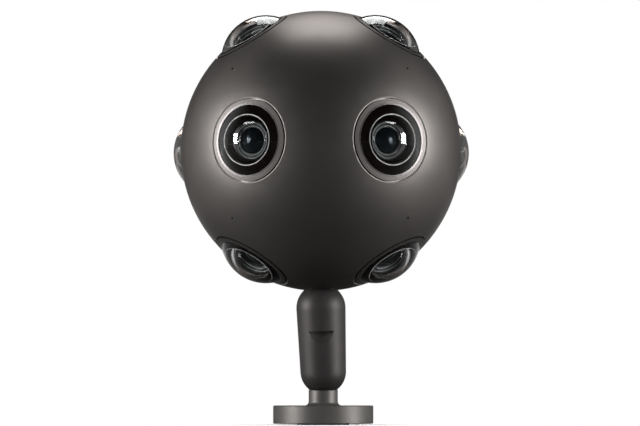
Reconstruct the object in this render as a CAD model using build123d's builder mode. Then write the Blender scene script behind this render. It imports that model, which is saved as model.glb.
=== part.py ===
from build123d import *
from math import atan2, cos, radians, sin, sqrt, tan
import os

os.makedirs("parts", exist_ok=True)

# Clearances shared by all pieces
seat_gap = 0.05
running_gap = 0.08
slide_gap = 0.4
open_gap = 0.3
overrun = 3.0

# Base foot: a round flange with a short neck, its pad and its stand thread
foot_radius = 28.5
foot_thickness = 10.4
foot_chamfer = 0.5
neck_radius = 8.3
neck_fillet = 2.3
ball_rise = 19.3
mouth_slope = 4.0
pad_radius = 14.8
pad_bore_radius = 8.6
pad_depth = 1.2
pad_stand = 0.4
stand_thread_radius = 4.0
stand_thread_depth = 9.0
stand_thread_chamfer = 0.7

# Arm: a tapered capsule between two balls, leaning a little left and forward
arm_length = 36.2
arm_pitch = 5.5
arm_lean = 2.0
lower_end_radius = 13.0
upper_end_radius = 14.0
lower_ball_radius = 8.0
upper_ball_radius = 8.5
lower_stem_radius = 3.6
upper_stem_radius = 4.0
lower_shank_radius = 3.0
lower_shank_length = 4.5
ball_tilt = 12.0
tilt_margin = 1.3
cup_wall = 1.1
cup_reach = 68.0

# Finger scoop in the arm's front: the lower cap of a ball, cut off flat at the top
scoop_ball_radius = 11.0
scoop_ball_standoff = 5.9
scoop_ball_drop = 2.7
scoop_top = 23.8

# Clamp inside the arm: a knob's shaft draws a wedge that drives two push rods
knob_radius = 9.0
knob_thickness = 8.0
knob_flute_radius = 1.6
knob_flutes = 10
knob_dish_radius = 5.0
knob_dish_depth = 1.0
knob_edge = 0.8
spot_depth = 1.3
shaft_radius = 2.0
wedge_width = 7.0
wedge_length = 8.5
wedge_front_height = 3.7
wedge_slope_share = 0.12
wedge_front = -4.0
wedge_travel = 2.0
wedge_headroom = 0.6
rod_radius = 2.5
arm_screw_radius = 1.25
arm_screw_head_radius = 2.2
arm_screw_head_height = 1.8
arm_screw_socket_radius = 1.15
arm_screw_socket_depth = 1.0
arm_screw_reach = 6.0
arm_screw_floor = 4.6
arm_screw_side = 9.4
arm_screw_rise = 4.5

# Head: a ball with eight lenses and a tapered tail behind it, its wide pieces in step with the ball
body_radius = 80.0
head_length = 264.0
front_wall = 3.5
rear_wall = 3.0
ball_to_body = 9.65
seam_offset = 0.55 * body_radius
seam_gap = 0.35
flange_thickness = 4.0
flange_setback = 3.0
flange_bore = 0.6375 * body_radius
top_seam_turn = 90.0
tail_seam_turn = 30.0

# Lens directions in degrees round the head, from the front, and above its equator
front_azimuth = 30.5
side_azimuth = 102.0
polar_azimuth = 66.6
polar_elevation = 56.25
microphone_azimuth = 45.4
microphone_elevation = 31.3
rear_microphone_azimuth = 118.0
rear_microphone_elevation = 35.0

# Lens ports and trim rings, radii from the lens axis and heights from the head's centre
port_radius = 0.268 * body_radius
seat_land = 1.7
seat_depth = 5.5
boss_margin = 1.1
boss_thickness = 3.0
groove_width = 0.45
groove_depth = 0.6
port_bevel = 0.7
ring_shoulder_gap = 0.6
ring_hold = 2.06
ring_band = 1.1
ring_band_rise = 0.1
seat_radius = port_radius + seat_land
seat_height = body_radius - seat_depth
port_boss_radius = seat_radius + boss_margin
port_boss_height = seat_height - boss_thickness
ring_radius = seat_radius - groove_width
ring_bore = port_radius - ring_hold
ring_shoulder_radius = port_radius - ring_shoulder_gap

# Front element: a strongly curved meniscus
dome_rise = 6.4
dome_rim_radius = ring_bore - running_gap
dome_radius = 1.33 * dome_rim_radius
dome_centre = body_radius + dome_rise - dome_radius
dome_hollow_rim = 0.62 * dome_rim_radius
dome_hollow_radius = 1.125 * dome_hollow_rim

# Barrel behind the front element
flange_height = 2.8
flange_drop = 4.6
flange_slack = 0.8
throat_lip = 0.8
first_step_depth = 6.2
second_step_depth = 7.6
stop_depth = 8.8
stop_thickness = 1.6
bore_depth = 23.4
barrel_radius = 0.85 * dome_rim_radius
barrel_base = 0.575 * body_radius
flange_radius = port_radius - flange_slack
flange_top = body_radius - flange_drop
throat_radius = dome_hollow_rim - throat_lip
first_step_radius = 0.87 * dome_hollow_rim
second_step_radius = dome_hollow_rim * 2 / 3
stop_radius = 0.5625 * dome_hollow_rim
barrel_bore = 0.75 * dome_hollow_rim
first_step_height = flange_top - first_step_depth
second_step_height = flange_top - second_step_depth
stop_top = flange_top - stop_depth
stop_bottom = stop_top - stop_thickness
barrel_bore_height = flange_top - bore_depth

# Inner element and sensor board
inner_lens_radius = 0.66 * dome_hollow_rim
inner_lens_curve = 1.5 * dome_hollow_rim
inner_lens_edge = 2.0
inner_lens_drop = 0.6
board_thickness = 1.6
sensor_width = 12.0
sensor_height = 9.0
sensor_thickness = 1.2
flex_width = 8.0
flex_thickness = 0.5
flex_length = 18.0

# Microphones
microphone_hole_radius = 0.7
microphone_radius = 2.0
microphone_thickness = 2.4

# Chassis: a hollow hub that carries the barrels, a neck and a wheel at the seam
hub_radius = 0.5875 * body_radius
hub_hollow_radius = 0.4125 * body_radius
hub_back = 0.375 * body_radius
hub_boss_radius = 0.225 * body_radius
hub_boss_height = 4.0
hub_pocket_radius = 0.1875 * body_radius
sensor_board_radius = 0.96 * hub_pocket_radius
flex_slot_width = 10.0
flex_slot_height = 2.0
chassis_neck_radius = 0.325 * body_radius
chassis_neck_bore = 0.25 * body_radius
wheel_radius = 0.7525 * body_radius
wheel_thickness = 6.0
wheel_window_radius = 0.1 * body_radius
wheel_window_circle = 0.47 * body_radius
wheel_windows = 6

# Main board and heat spreader behind the wheel
main_board_radius = 0.6 * body_radius
post_radius = 3.0
post_circle = 0.55 * body_radius
post_count = 4
post_start = 45.0
post_height = 2.5
processor_width = 26.0
processor_height = 2.4
spreader_width = 0.75 * body_radius
spreader_plate = 3.0
fin_count = 8
fin_thickness = 2.0
fin_height = 9.0

# Screws that hold the rear shell, the wheel and the front shell together
screw_circle = 0.694 * body_radius
screw_count = 6
screw_radius = 1.5
screw_head_radius = 2.8
screw_head_height = 2.4
screw_socket_radius = 1.45
screw_socket_depth = 1.4
screw_well_radius = 3.2
screw_grip = 5.45
screw_boss_radius = 4.6

# Bottom mount: a threaded bush with a cup for the arm's round end
bush_radius = 12.0
bush_flange_radius = 17.0
bush_flange_thickness = 3.0
bush_seat_depth = 7.4
bush_length = 20.0
bush_seat_height = body_radius - bush_seat_depth
bush_neck_radius = 9.0
bush_top_height = body_radius - bush_length
bush_screw_circle = 14.5
bush_screw_count = 3
bush_screw_radius = 0.9
bush_screw_head_radius = 1.7
bush_screw_head_height = 1.2
bush_screw_reach = 2.4
bush_boss_radius = 17.5
bush_boss_depth = 3.2
stud_thread_radius = 4.75
stud_thread_length = 14.0

# Tail: flares in from the ball, then tapers to the cartridge
flare_start = 0.6 * body_radius
flare_radius = 0.75 * body_radius
tail_taper = 5.0
tail_end = head_length - body_radius
tail_length = tail_end - seam_offset
cap_length = 0.243 * tail_length
mouth_offset = tail_end - cap_length
bay_radius = 0.4175 * body_radius
bay_wall = 4.0
bay_floor = seam_offset + 0.35 * tail_length

# Control panel on the tail's top and connector panel below, both parallel to its taper
panel_length = 0.357 * tail_length
panel_width = 22.0
panel_depth = 2.0
panel_wall = 3.5
panel_rim = 3.0
panel_margin = 1.0
panel_offset = mouth_offset - rear_wall - panel_margin - panel_rim - panel_length / 2
power_button_place = -panel_length / 4
record_button_place = panel_length / 4
power_button_radius = panel_length / 10
record_button_radius = 0.12 * panel_length
button_rise = 0.9
button_flange = 1.2
button_flange_thickness = 1.0
button_travel = 0.8
button_edge = 0.4
light_radius = 2.0
light_flange = 1.0
switch_width = 6.0
connector_pitch = 0.32 * panel_length
connector_depth = 7.0
collar_rise = 0.8
collar_width = 1.3
power_inlet_radius = 5.2
power_inlet_bore = 3.1
power_pin_radius = 1.0
video_radius = 4.2
video_bore = 2.9
video_rise = 1.6
video_pin_radius = 0.5
data_width = 11.0
data_height = 5.0
data_opening_width = 8.9
data_opening_height = 3.1
data_tongue_width = 6.6
data_tongue_height = 0.8
socket_depth = 6.0
tongue_length = 5.0

# Cartridge: the tail's end, with the battery pack and the storage drive
cartridge_gap = 0.4
cap_round = 0.32 * cap_length
grip_grooves = 4
grip_pitch = 0.106 * cap_length
grip_width = 1.4
grip_depth = 0.9
grip_offset = 0.18 * cap_length
battery_width = 1.08 * bay_radius
battery_height = 0.84 * bay_radius
battery_lift = 0.27 * bay_radius
drive_width = 1.2 * bay_radius
drive_height = 0.33 * bay_radius
drive_lift = -0.405 * bay_radius
pack_recess = 1.0
pack_end = 7.0
pack_length = mouth_offset - bay_floor - pack_end
key_width = 6.0
key_height = 2.0
contact_width = 0.6 * bay_radius
contact_height = 0.18 * bay_radius
contact_length = 4.5
contact_lift = -0.78 * bay_radius

# Places of the two balls and of the head's centre
foot_top = pad_stand + foot_thickness
lower_ball = Vector(0, 0, foot_top + ball_rise)
arm_direction = Vector(-tan(radians(arm_lean)), -tan(radians(arm_pitch)), 1).normalized()
upper_ball = lower_ball + arm_direction * arm_length
head_centre = upper_ball + Vector(0, 0, body_radius + ball_to_body)


# Height of a circle's point above the circle's centre, at a distance from its axis
def arc_height(radius, reach):
    return sqrt(radius**2 - reach**2)


# Arc of a circle whose centre is on the axis, between two distances from the axis
def axis_arc(radius, start, end, centre=0, side=1):
    middle = (start + end) / 2
    ThreePointArc(
        (start, centre + side * arc_height(radius, start)),
        (middle, centre + side * arc_height(radius, middle)),
        (end, centre + side * arc_height(radius, end)),
    )


# Sketch plane through a place's axis: local x is the distance from it, local y the height
def section_of(place):
    return Plane(origin=place.origin, x_dir=place.x_dir, z_dir=-place.y_dir)


def axis_of(place):
    return Axis(place.origin, place.z_dir)


# Place on the head with its axis pointing outward through its centre
def outward_place(azimuth, elevation):
    around = radians(azimuth)
    up = radians(elevation)
    outward = Vector(sin(around) * cos(up), -cos(around) * cos(up), sin(up))
    sideways = Vector(cos(around), sin(around), 0)
    return Plane(origin=head_centre, x_dir=sideways, z_dir=outward)


# Section plane through the tail's axis, turned round it: local x is the distance from the axis
def head_section(turn):
    around = radians(turn)
    across = Vector(cos(around), 0, sin(around))
    facing = Vector(-sin(around), 0, cos(around))
    return Plane(origin=head_centre, x_dir=across, z_dir=facing)


# Plane square to the tail's axis, facing backward, at an offset behind the head's centre
def tail_plane(offset):
    return Plane(origin=head_centre + Vector(0, offset, 0), x_dir=(1, 0, 0), z_dir=(0, 1, 0))


head_axis = Axis(head_centre, (0, 1, 0))
front_plan = head_section(top_seam_turn)
tail_plan = head_section(tail_seam_turn)
head_down = Plane(origin=head_centre, x_dir=(1, 0, 0), z_dir=(0, 0, -1))
foot_place = Plane(origin=(0, 0, 0), x_dir=(1, 0, 0), z_dir=(0, 0, 1))
lower_place = Plane(origin=lower_ball, x_dir=(1, 0, 0), z_dir=(0, 0, 1))
arm_place = Plane(origin=lower_ball, x_dir=(1, 0, 0), z_dir=arm_direction)
arm_top_place = Plane(origin=upper_ball, x_dir=(1, 0, 0), z_dir=-arm_direction)

lens_places = {
    "front_left": outward_place(-front_azimuth, 0),
    "front_right": outward_place(front_azimuth, 0),
    "side_left": outward_place(-side_azimuth, 0),
    "side_right": outward_place(side_azimuth, 0),
    "upper_left": outward_place(-polar_azimuth, polar_elevation),
    "upper_right": outward_place(polar_azimuth, polar_elevation),
    "lower_left": outward_place(-polar_azimuth, -polar_elevation),
    "lower_right": outward_place(polar_azimuth, -polar_elevation),
}
microphone_places = []
for side in (-1, 1):
    for level in (-1, 1):
        front_place = outward_place(side * microphone_azimuth, level * microphone_elevation)
        rear_place = outward_place(side * rear_microphone_azimuth, level * rear_microphone_elevation)
        microphone_places.extend([front_place, rear_place])

# Sockets in the arm: the half nearer the arm's middle holds a pressure cup
lower_socket_radius = lower_ball_radius + cup_wall + 2 * running_gap
upper_socket_radius = upper_ball_radius + cup_wall + 2 * running_gap
clamp_height = (lower_socket_radius + arm_length - upper_socket_radius) / 2
lower_dish_radius = lower_end_radius + open_gap
upper_dish_radius = upper_end_radius + open_gap


# Sizes of the head's two shells and of the wheel between them
inner_radius = body_radius - front_wall
seam_radius = arc_height(body_radius, seam_offset)
rim_radius = arc_height(inner_radius, seam_offset)
flange_back = seam_offset - flange_setback
flange_front = flange_back - flange_thickness
flange_reach = arc_height(inner_radius, flange_front)
wheel_front = flange_back + seat_gap
wheel_back = wheel_front + wheel_thickness
screw_well_floor = wheel_back + screw_grip


# Base foot: flange and neck, dished at the top for the arm's round lower end
neck_top = lower_ball.Z - arc_height(lower_dish_radius, neck_radius)
stem_seat_depth = lower_dish_radius + seat_gap * 8
with BuildPart() as base_foot:
    with BuildSketch(section_of(foot_place)):
        with BuildLine():
            Polyline(
                (0, pad_stand),
                (foot_radius, pad_stand),
                (foot_radius, foot_top),
                (neck_radius, foot_top),
                (neck_radius, neck_top),
                (0, neck_top),
                close=True,
            )
        make_face()
    revolve(axis=axis_of(foot_place))
    rims = base_foot.edges().filter_by(GeomType.CIRCLE).sort_by(SortBy.RADIUS)
    chamfer(rims[-2:], foot_chamfer)
    neck_edges = base_foot.edges().filter_by(GeomType.CIRCLE).sort_by(SortBy.RADIUS)[:2]
    fillet(neck_edges.sort_by(Axis.Z)[0], neck_fillet)
    with Locations(Location(lower_ball)):
        Sphere(lower_dish_radius, mode=Mode.SUBTRACT)
    with BuildSketch(Plane(origin=lower_ball, x_dir=(1, 0, 0), z_dir=(0, 0, -1))):
        Circle(lower_stem_radius + seat_gap)
    extrude(amount=stem_seat_depth, mode=Mode.SUBTRACT)
    with BuildSketch(Plane(origin=lower_ball, x_dir=(1, 0, 0), z_dir=(0, 0, -1))):
        Circle(lower_shank_radius + seat_gap)
    extrude(amount=stem_seat_depth + lower_shank_length, mode=Mode.SUBTRACT)
    with BuildSketch(Plane.XY.offset(pad_stand)):
        Circle(pad_radius + seat_gap)
        Circle(pad_bore_radius - seat_gap, mode=Mode.SUBTRACT)
    extrude(amount=pad_depth, mode=Mode.SUBTRACT)
    with BuildSketch(Plane.XY.offset(pad_stand)):
        Circle(stand_thread_radius)
    extrude(amount=stand_thread_depth, mode=Mode.SUBTRACT)
    thread_mouth = base_foot.edges().filter_by(GeomType.CIRCLE).group_by(Axis.Z)[0]
    chamfer(thread_mouth.sort_by(SortBy.RADIUS)[0], stand_thread_chamfer)
    slope = Plane(origin=(0, 0, neck_top), x_dir=(1, 0, 0), z_dir=(0, 0, 1)).rotated((mouth_slope, 0, 0))
    split(bisect_by=slope, keep=Keep.BOTTOM)
base_foot.part.label = "base_foot"
export_step(base_foot.part, "parts/base_foot.step")

# Rubber pad let into the foot's underside
with BuildPart() as base_pad:
    with BuildSketch(Plane.XY):
        Circle(pad_radius)
        Circle(pad_bore_radius, mode=Mode.SUBTRACT)
    extrude(amount=pad_stand + pad_depth)
base_pad.part.label = "base_pad"
export_step(base_pad.part, "parts/base_pad.step")


# Ball on a stem, with a threaded shank below the stem's end
def make_ball_stud(place, ball, stem, stem_length, shank, shank_length):
    with BuildPart() as stud:
        with BuildSketch(section_of(place)):
            with BuildLine():
                ThreePointArc((0, ball), (ball, 0), (stem, -arc_height(ball, stem)))
                Polyline(
                    (stem, -arc_height(ball, stem)),
                    (stem, -stem_length),
                    (shank, -stem_length),
                    (shank, -stem_length - shank_length),
                    (0, -stem_length - shank_length),
                    (0, ball),
                )
            make_face()
        revolve(axis=axis_of(place))
    return stud.part


lower_ball_stud = make_ball_stud(
    lower_place,
    lower_ball_radius,
    lower_stem_radius,
    stem_seat_depth - seat_gap,
    lower_shank_radius,
    lower_shank_length - seat_gap,
)
lower_ball_stud.label = "lower_ball_stud"
export_step(lower_ball_stud, "parts/lower_ball_stud.step")

upper_ball_stud = make_ball_stud(
    Plane(origin=upper_ball, x_dir=(1, 0, 0), z_dir=(0, 0, -1)),
    upper_ball_radius,
    upper_stem_radius,
    upper_dish_radius,
    stud_thread_radius,
    stud_thread_length,
)
upper_ball_stud.label = "upper_ball_stud"
export_step(upper_ball_stud, "parts/upper_ball_stud.step")

# Places along the arm: its clamp's axis points backward, and the arm widens evenly upward
taper_share = (upper_end_radius - lower_end_radius) / arm_length
flank_share = sqrt(1 - taper_share**2)
diagonal_share = sqrt(0.5)
clamp_place = Plane(
    origin=lower_ball + arm_direction * clamp_height,
    x_dir=arm_place.x_dir,
    z_dir=arm_place.y_dir,
)
wedge_place = Plane(origin=clamp_place.origin, x_dir=arm_place.y_dir, z_dir=arm_place.x_dir)
arm_radius_at_clamp = (lower_end_radius + taper_share * clamp_height) / flank_share
arm_radius_at_scoop = (lower_end_radius + taper_share * scoop_top) / flank_share
spot_height = arm_radius_at_clamp - spot_depth
channel_front = wedge_front - wedge_travel - wedge_headroom
channel_length = wedge_length + wedge_travel + 2 * wedge_headroom


# Hollow of a socket and its mouth, on a place whose axis points out of the mouth
def make_socket_hollow(place, ball, socket, stem, end):
    hold = ball + running_gap
    lip_angle = radians(ball_tilt + tilt_margin) + atan2(stem, arc_height(ball, stem))
    mouth_angle = radians(ball_tilt + tilt_margin) + atan2(stem, arc_height(end, stem))
    mouth = end * sin(mouth_angle)
    with BuildPart() as hollow:
        with BuildSketch(section_of(place)):
            with BuildLine():
                ThreePointArc((0, hold), (hold * diagonal_share, hold * diagonal_share), (hold, 0))
                Line((hold, 0), (socket, 0))
                ThreePointArc(
                    (socket, 0),
                    (socket * diagonal_share, -socket * diagonal_share),
                    (0, -socket),
                )
                Line((0, -socket), (0, hold))
            make_face()
        revolve(axis=axis_of(place))
        with BuildSketch(section_of(place)):
            with BuildLine():
                Polyline(
                    (0, 0),
                    (hold * sin(lip_angle), hold * cos(lip_angle)),
                    (mouth, end * cos(mouth_angle)),
                    (mouth, end + overrun),
                    (0, end + overrun),
                    close=True,
                )
            make_face()
        revolve(axis=axis_of(place))
    return hollow.part


lower_hollow = make_socket_hollow(
    Plane(origin=lower_ball, x_dir=(1, 0, 0), z_dir=-arm_direction),
    lower_ball_radius,
    lower_socket_radius,
    lower_stem_radius,
    lower_end_radius,
)
upper_hollow = make_socket_hollow(
    Plane(origin=upper_ball, x_dir=(1, 0, 0), z_dir=arm_direction),
    upper_ball_radius,
    upper_socket_radius,
    upper_stem_radius,
    upper_end_radius,
)

# Whole arm with its two sockets, the rods' bore, the wedge's channel and the shaft's bore
lower_flank = (lower_end_radius * flank_share, -lower_end_radius * taper_share)
upper_flank = (upper_end_radius * flank_share, arm_length - upper_end_radius * taper_share)
lower_middle = (lower_end_radius * diagonal_share, -lower_end_radius * diagonal_share)
upper_middle = (upper_end_radius * diagonal_share, arm_length + upper_end_radius * diagonal_share)
with BuildPart() as whole_arm:
    with BuildSketch(section_of(arm_place)):
        with BuildLine():
            ThreePointArc((0, -lower_end_radius), lower_middle, lower_flank)
            Line(lower_flank, upper_flank)
            ThreePointArc(upper_flank, upper_middle, (0, arm_length + upper_end_radius))
            Line((0, arm_length + upper_end_radius), (0, -lower_end_radius))
        make_face()
    revolve(axis=axis_of(arm_place))
    add(lower_hollow, mode=Mode.SUBTRACT)
    add(upper_hollow, mode=Mode.SUBTRACT)
    with BuildSketch(arm_place.offset(lower_ball_radius)):
        Circle(rod_radius + running_gap)
    extrude(amount=arm_length - lower_ball_radius - upper_ball_radius, mode=Mode.SUBTRACT)
    with BuildSketch(clamp_place.offset(channel_front)):
        Rectangle(wedge_width + 2 * running_gap, 2 * (wedge_front_height + running_gap))
    extrude(amount=channel_length, mode=Mode.SUBTRACT)
    with BuildSketch(clamp_place):
        Circle(shaft_radius + running_gap)
    extrude(amount=arm_radius_at_clamp, mode=Mode.SUBTRACT)

# Front half of the arm, with the finger scoop and the screws' tapped holes
with BuildPart() as arm_front_half:
    add(whole_arm.part)
    scoop_offset = arm_radius_at_scoop + scoop_ball_standoff
    scoop_place = Plane(
        origin=lower_ball + arm_direction * (scoop_top + scoop_ball_drop) - arm_place.y_dir * scoop_offset,
        x_dir=arm_place.x_dir,
        z_dir=-arm_direction,
    )
    with BuildSketch(section_of(scoop_place)):
        with BuildLine():
            scoop_rim = arc_height(scoop_ball_radius, scoop_ball_drop)
            axis_arc(scoop_ball_radius, 0, scoop_rim)
            Polyline((scoop_rim, scoop_ball_drop), (0, scoop_ball_drop), (0, scoop_ball_radius))
        make_face()
    revolve(axis=axis_of(scoop_place), mode=Mode.SUBTRACT)
    with BuildSketch(clamp_place.offset(-arm_screw_reach - seat_gap)):
        with GridLocations(2 * arm_screw_side, 2 * arm_screw_rise, 2, 2):
            Circle(arm_screw_radius + seat_gap)
    extrude(amount=arm_screw_reach + seat_gap, mode=Mode.SUBTRACT)
    split(bisect_by=clamp_place, keep=Keep.BOTTOM)
arm_front_half.part.label = "arm_front_half"
export_step(arm_front_half.part, "parts/arm_front_half.step")

# Rear half of the arm, with a flat for the knob and wells for the screws
with BuildPart() as arm_rear_half:
    add(whole_arm.part)
    with BuildSketch(clamp_place.offset(spot_height)):
        Circle(knob_radius + open_gap)
    extrude(amount=spot_depth + overrun, mode=Mode.SUBTRACT)
    with BuildSketch(clamp_place):
        with GridLocations(2 * arm_screw_side, 2 * arm_screw_rise, 2, 2):
            Circle(arm_screw_radius + seat_gap)
    extrude(amount=arm_screw_floor, mode=Mode.SUBTRACT)
    with BuildSketch(clamp_place.offset(arm_screw_floor)):
        with GridLocations(2 * arm_screw_side, 2 * arm_screw_rise, 2, 2):
            Circle(arm_screw_head_radius + seat_gap)
    extrude(amount=arm_radius_at_clamp, mode=Mode.SUBTRACT)
    split(bisect_by=clamp_place, keep=Keep.TOP)
arm_rear_half.part.label = "arm_rear_half"
export_step(arm_rear_half.part, "parts/arm_rear_half.step")

# Four screws that hold the arm's halves together
with BuildPart() as arm_screws:
    with BuildSketch(clamp_place.offset(-arm_screw_reach)):
        with GridLocations(2 * arm_screw_side, 2 * arm_screw_rise, 2, 2):
            Circle(arm_screw_radius)
    extrude(amount=arm_screw_reach + arm_screw_floor + arm_screw_head_height)
    with BuildSketch(clamp_place.offset(arm_screw_floor + seat_gap)):
        with GridLocations(2 * arm_screw_side, 2 * arm_screw_rise, 2, 2):
            Circle(arm_screw_head_radius)
    extrude(amount=arm_screw_head_height)
    with BuildSketch(clamp_place.offset(arm_screw_floor + seat_gap + arm_screw_head_height)):
        with GridLocations(2 * arm_screw_side, 2 * arm_screw_rise, 2, 2):
            RegularPolygon(arm_screw_socket_radius, 6)
    extrude(amount=-arm_screw_socket_depth, mode=Mode.SUBTRACT)
arm_screws.part.label = "arm_screws"
export_step(arm_screws.part, "parts/arm_screws.step")


# Corners of the wedge seen from the side, thick at the front, with allowances above and lengthwise
def wedge_corners(allowance, extra):
    front = wedge_front - extra
    back = wedge_front + wedge_length + extra
    front_height = wedge_front_height + allowance + wedge_slope_share * extra
    back_height = wedge_front_height + allowance - wedge_slope_share * (wedge_length + extra)
    return [(front, -front_height), (back, -back_height), (back, back_height), (front, front_height)]


with BuildPart() as clamp_wedge:
    with BuildSketch(wedge_place):
        with BuildLine():
            Polyline(*wedge_corners(0, 0), close=True)
        make_face()
    extrude(amount=wedge_width / 2, both=True)
    with BuildSketch(clamp_place.offset(wedge_front)):
        Circle(shaft_radius + running_gap)
    extrude(amount=wedge_length, mode=Mode.SUBTRACT)
clamp_wedge.part.label = "clamp_wedge"
export_step(clamp_wedge.part, "parts/clamp_wedge.step")


# Rod between the wedge and a socket, on a place whose axis points from the socket to the wedge
def make_push_rod(place, socket, length):
    with BuildPart() as rod:
        with BuildSketch(place):
            Circle(rod_radius)
        extrude(amount=length)
        with Locations(Location(place.origin)):
            Sphere(socket + seat_gap, mode=Mode.SUBTRACT)
        with BuildSketch(wedge_place):
            with BuildLine():
                Polyline(*wedge_corners(running_gap, overrun), close=True)
            make_face()
        extrude(amount=wedge_width, both=True, mode=Mode.SUBTRACT)
    return rod.part


lower_push_rod = make_push_rod(arm_place, lower_socket_radius, clamp_height)
lower_push_rod.label = "lower_push_rod"
export_step(lower_push_rod, "parts/lower_push_rod.step")

upper_push_rod = make_push_rod(arm_top_place, upper_socket_radius, arm_length - clamp_height)
upper_push_rod.label = "upper_push_rod"
export_step(upper_push_rod, "parts/upper_push_rod.step")


# Cup between a ball and the arm, on a place whose axis points at the cup's pole
def make_pressure_cup(place, ball, socket):
    inside = ball + running_gap
    outside = socket - running_gap
    reach = radians(cup_reach)
    with BuildPart() as cup:
        with BuildSketch(section_of(place)):
            with BuildLine():
                axis_arc(outside, 0, outside * sin(reach))
                Line(
                    (outside * sin(reach), outside * cos(reach)),
                    (inside * sin(reach), inside * cos(reach)),
                )
                axis_arc(inside, inside * sin(reach), 0)
                Line((0, inside), (0, outside))
            make_face()
        revolve(axis=axis_of(place))
    return cup.part


lower_pressure_cup = make_pressure_cup(arm_place, lower_ball_radius, lower_socket_radius)
lower_pressure_cup.label = "lower_pressure_cup"
export_step(lower_pressure_cup, "parts/lower_pressure_cup.step")

upper_pressure_cup = make_pressure_cup(arm_top_place, upper_ball_radius, upper_socket_radius)
upper_pressure_cup.label = "upper_pressure_cup"
export_step(upper_pressure_cup, "parts/upper_pressure_cup.step")

# Clamp knob with its shaft, fluted round the rim and dished at the back
knob_front = spot_height + open_gap
with BuildPart() as clamp_knob:
    with BuildSketch(clamp_place.offset(knob_front)):
        Circle(knob_radius)
    extrude(amount=knob_thickness)
    chamfer(clamp_knob.faces().sort_by(axis_of(clamp_place))[-1].edges(), knob_edge)
    with BuildSketch(clamp_place.offset(knob_front)):
        with PolarLocations(knob_radius + knob_flute_radius / 2, knob_flutes):
            Circle(knob_flute_radius)
    extrude(amount=knob_thickness, mode=Mode.SUBTRACT)
    with BuildSketch(clamp_place.offset(knob_front + knob_thickness - knob_dish_depth)):
        Circle(knob_dish_radius)
    extrude(amount=knob_dish_depth, mode=Mode.SUBTRACT)
    with BuildSketch(clamp_place.offset(wedge_front)):
        Circle(shaft_radius)
    extrude(amount=knob_front - wedge_front)
clamp_knob.part.label = "clamp_knob"
export_step(clamp_knob.part, "parts/clamp_knob.step")

# Front shell: hollow ball with a flange at the seam, eight lens ports, microphone holes and a boss below
port_front = body_radius + overrun
seat_front = arc_height(body_radius, seat_radius) - groove_depth
with BuildPart() as front_shell:
    with BuildSketch(front_plan):
        with BuildLine():
            ThreePointArc((0, -body_radius), (body_radius, 0), (seam_radius, seam_offset))
            Polyline(
                (seam_radius, seam_offset),
                (rim_radius, seam_offset),
                (rim_radius, flange_back),
                (flange_bore, flange_back),
                (flange_bore, flange_front),
                (flange_reach, flange_front),
            )
            ThreePointArc((flange_reach, flange_front), (inner_radius, 0), (0, -inner_radius))
            Line((0, -inner_radius), (0, -body_radius))
        make_face()
    revolve(axis=head_axis)
    for place in lens_places.values():
        with BuildSketch(place.offset(port_boss_height)):
            Circle(port_boss_radius)
        extrude(amount=seat_height - port_boss_height)
    with BuildSketch(head_down.offset(bush_seat_height)):
        Circle(bush_boss_radius)
    extrude(amount=bush_boss_depth)
    for place in lens_places.values():
        with BuildSketch(section_of(place)):
            with BuildLine():
                Polyline(
                    (0, port_boss_height - overrun),
                    (port_radius, port_boss_height - overrun),
                    (port_radius, seat_height),
                    (seat_radius, seat_height),
                    (seat_radius, seat_front),
                    (seat_radius + port_bevel, seat_front + port_bevel / 2),
                    (seat_radius + port_bevel, port_front),
                    (0, port_front),
                    close=True,
                )
            make_face()
        revolve(axis=axis_of(place), mode=Mode.SUBTRACT)
    for place in microphone_places:
        with BuildSketch(place.offset(inner_radius - overrun)):
            Circle(microphone_hole_radius)
        extrude(amount=front_wall + 2 * overrun, mode=Mode.SUBTRACT)
    with BuildSketch(head_down.offset(bush_top_height)):
        Circle(bush_radius + seat_gap)
    extrude(amount=body_radius, mode=Mode.SUBTRACT)
    with BuildSketch(head_down.offset(bush_seat_height)):
        with PolarLocations(bush_screw_circle, bush_screw_count):
            Circle(bush_screw_radius + seat_gap)
    extrude(amount=bush_screw_reach + seat_gap, mode=Mode.SUBTRACT)
    with BuildSketch(tail_plane(flange_front)):
        with PolarLocations(screw_circle, screw_count):
            Circle(screw_radius + seat_gap)
    extrude(amount=flange_thickness, mode=Mode.SUBTRACT)
front_shell.part.label = "front_shell"
export_step(front_shell.part, "parts/front_shell.step")

# Points of the tail's outline, as distance from its axis and offset behind the head's centre
tail_seam = seam_offset + seam_gap
rear_inner_radius = body_radius - rear_wall
rear_seam_radius = arc_height(body_radius, tail_seam)
rear_inner_seam = arc_height(rear_inner_radius, tail_seam)
hollow_start = tail_seam - overrun
hollow_start_radius = arc_height(rear_inner_radius, hollow_start)
flare_run = (tail_seam + flare_start) / 2
flare_share = flare_start / body_radius
flare_out_share = sqrt(1 - flare_share**2)
flare_angle = atan2(flare_share, flare_out_share)
taper_angle = radians(tail_taper)
flare_middle_angle = (flare_angle + taper_angle) / 2
flare_centre = (
    (body_radius + flare_radius) * flare_out_share,
    (body_radius + flare_radius) * flare_share,
)


def flare_point(depth, angle):
    reach = flare_radius + depth
    return (flare_centre[0] - reach * cos(angle), flare_centre[1] - reach * sin(angle))


# Radius of the tail's surface, or of its inside at a depth, where it tapers evenly
def tail_radius(offset, depth=0):
    start = flare_point(depth, taper_angle)
    return start[0] - (offset - start[1]) * tan(taper_angle)


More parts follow.
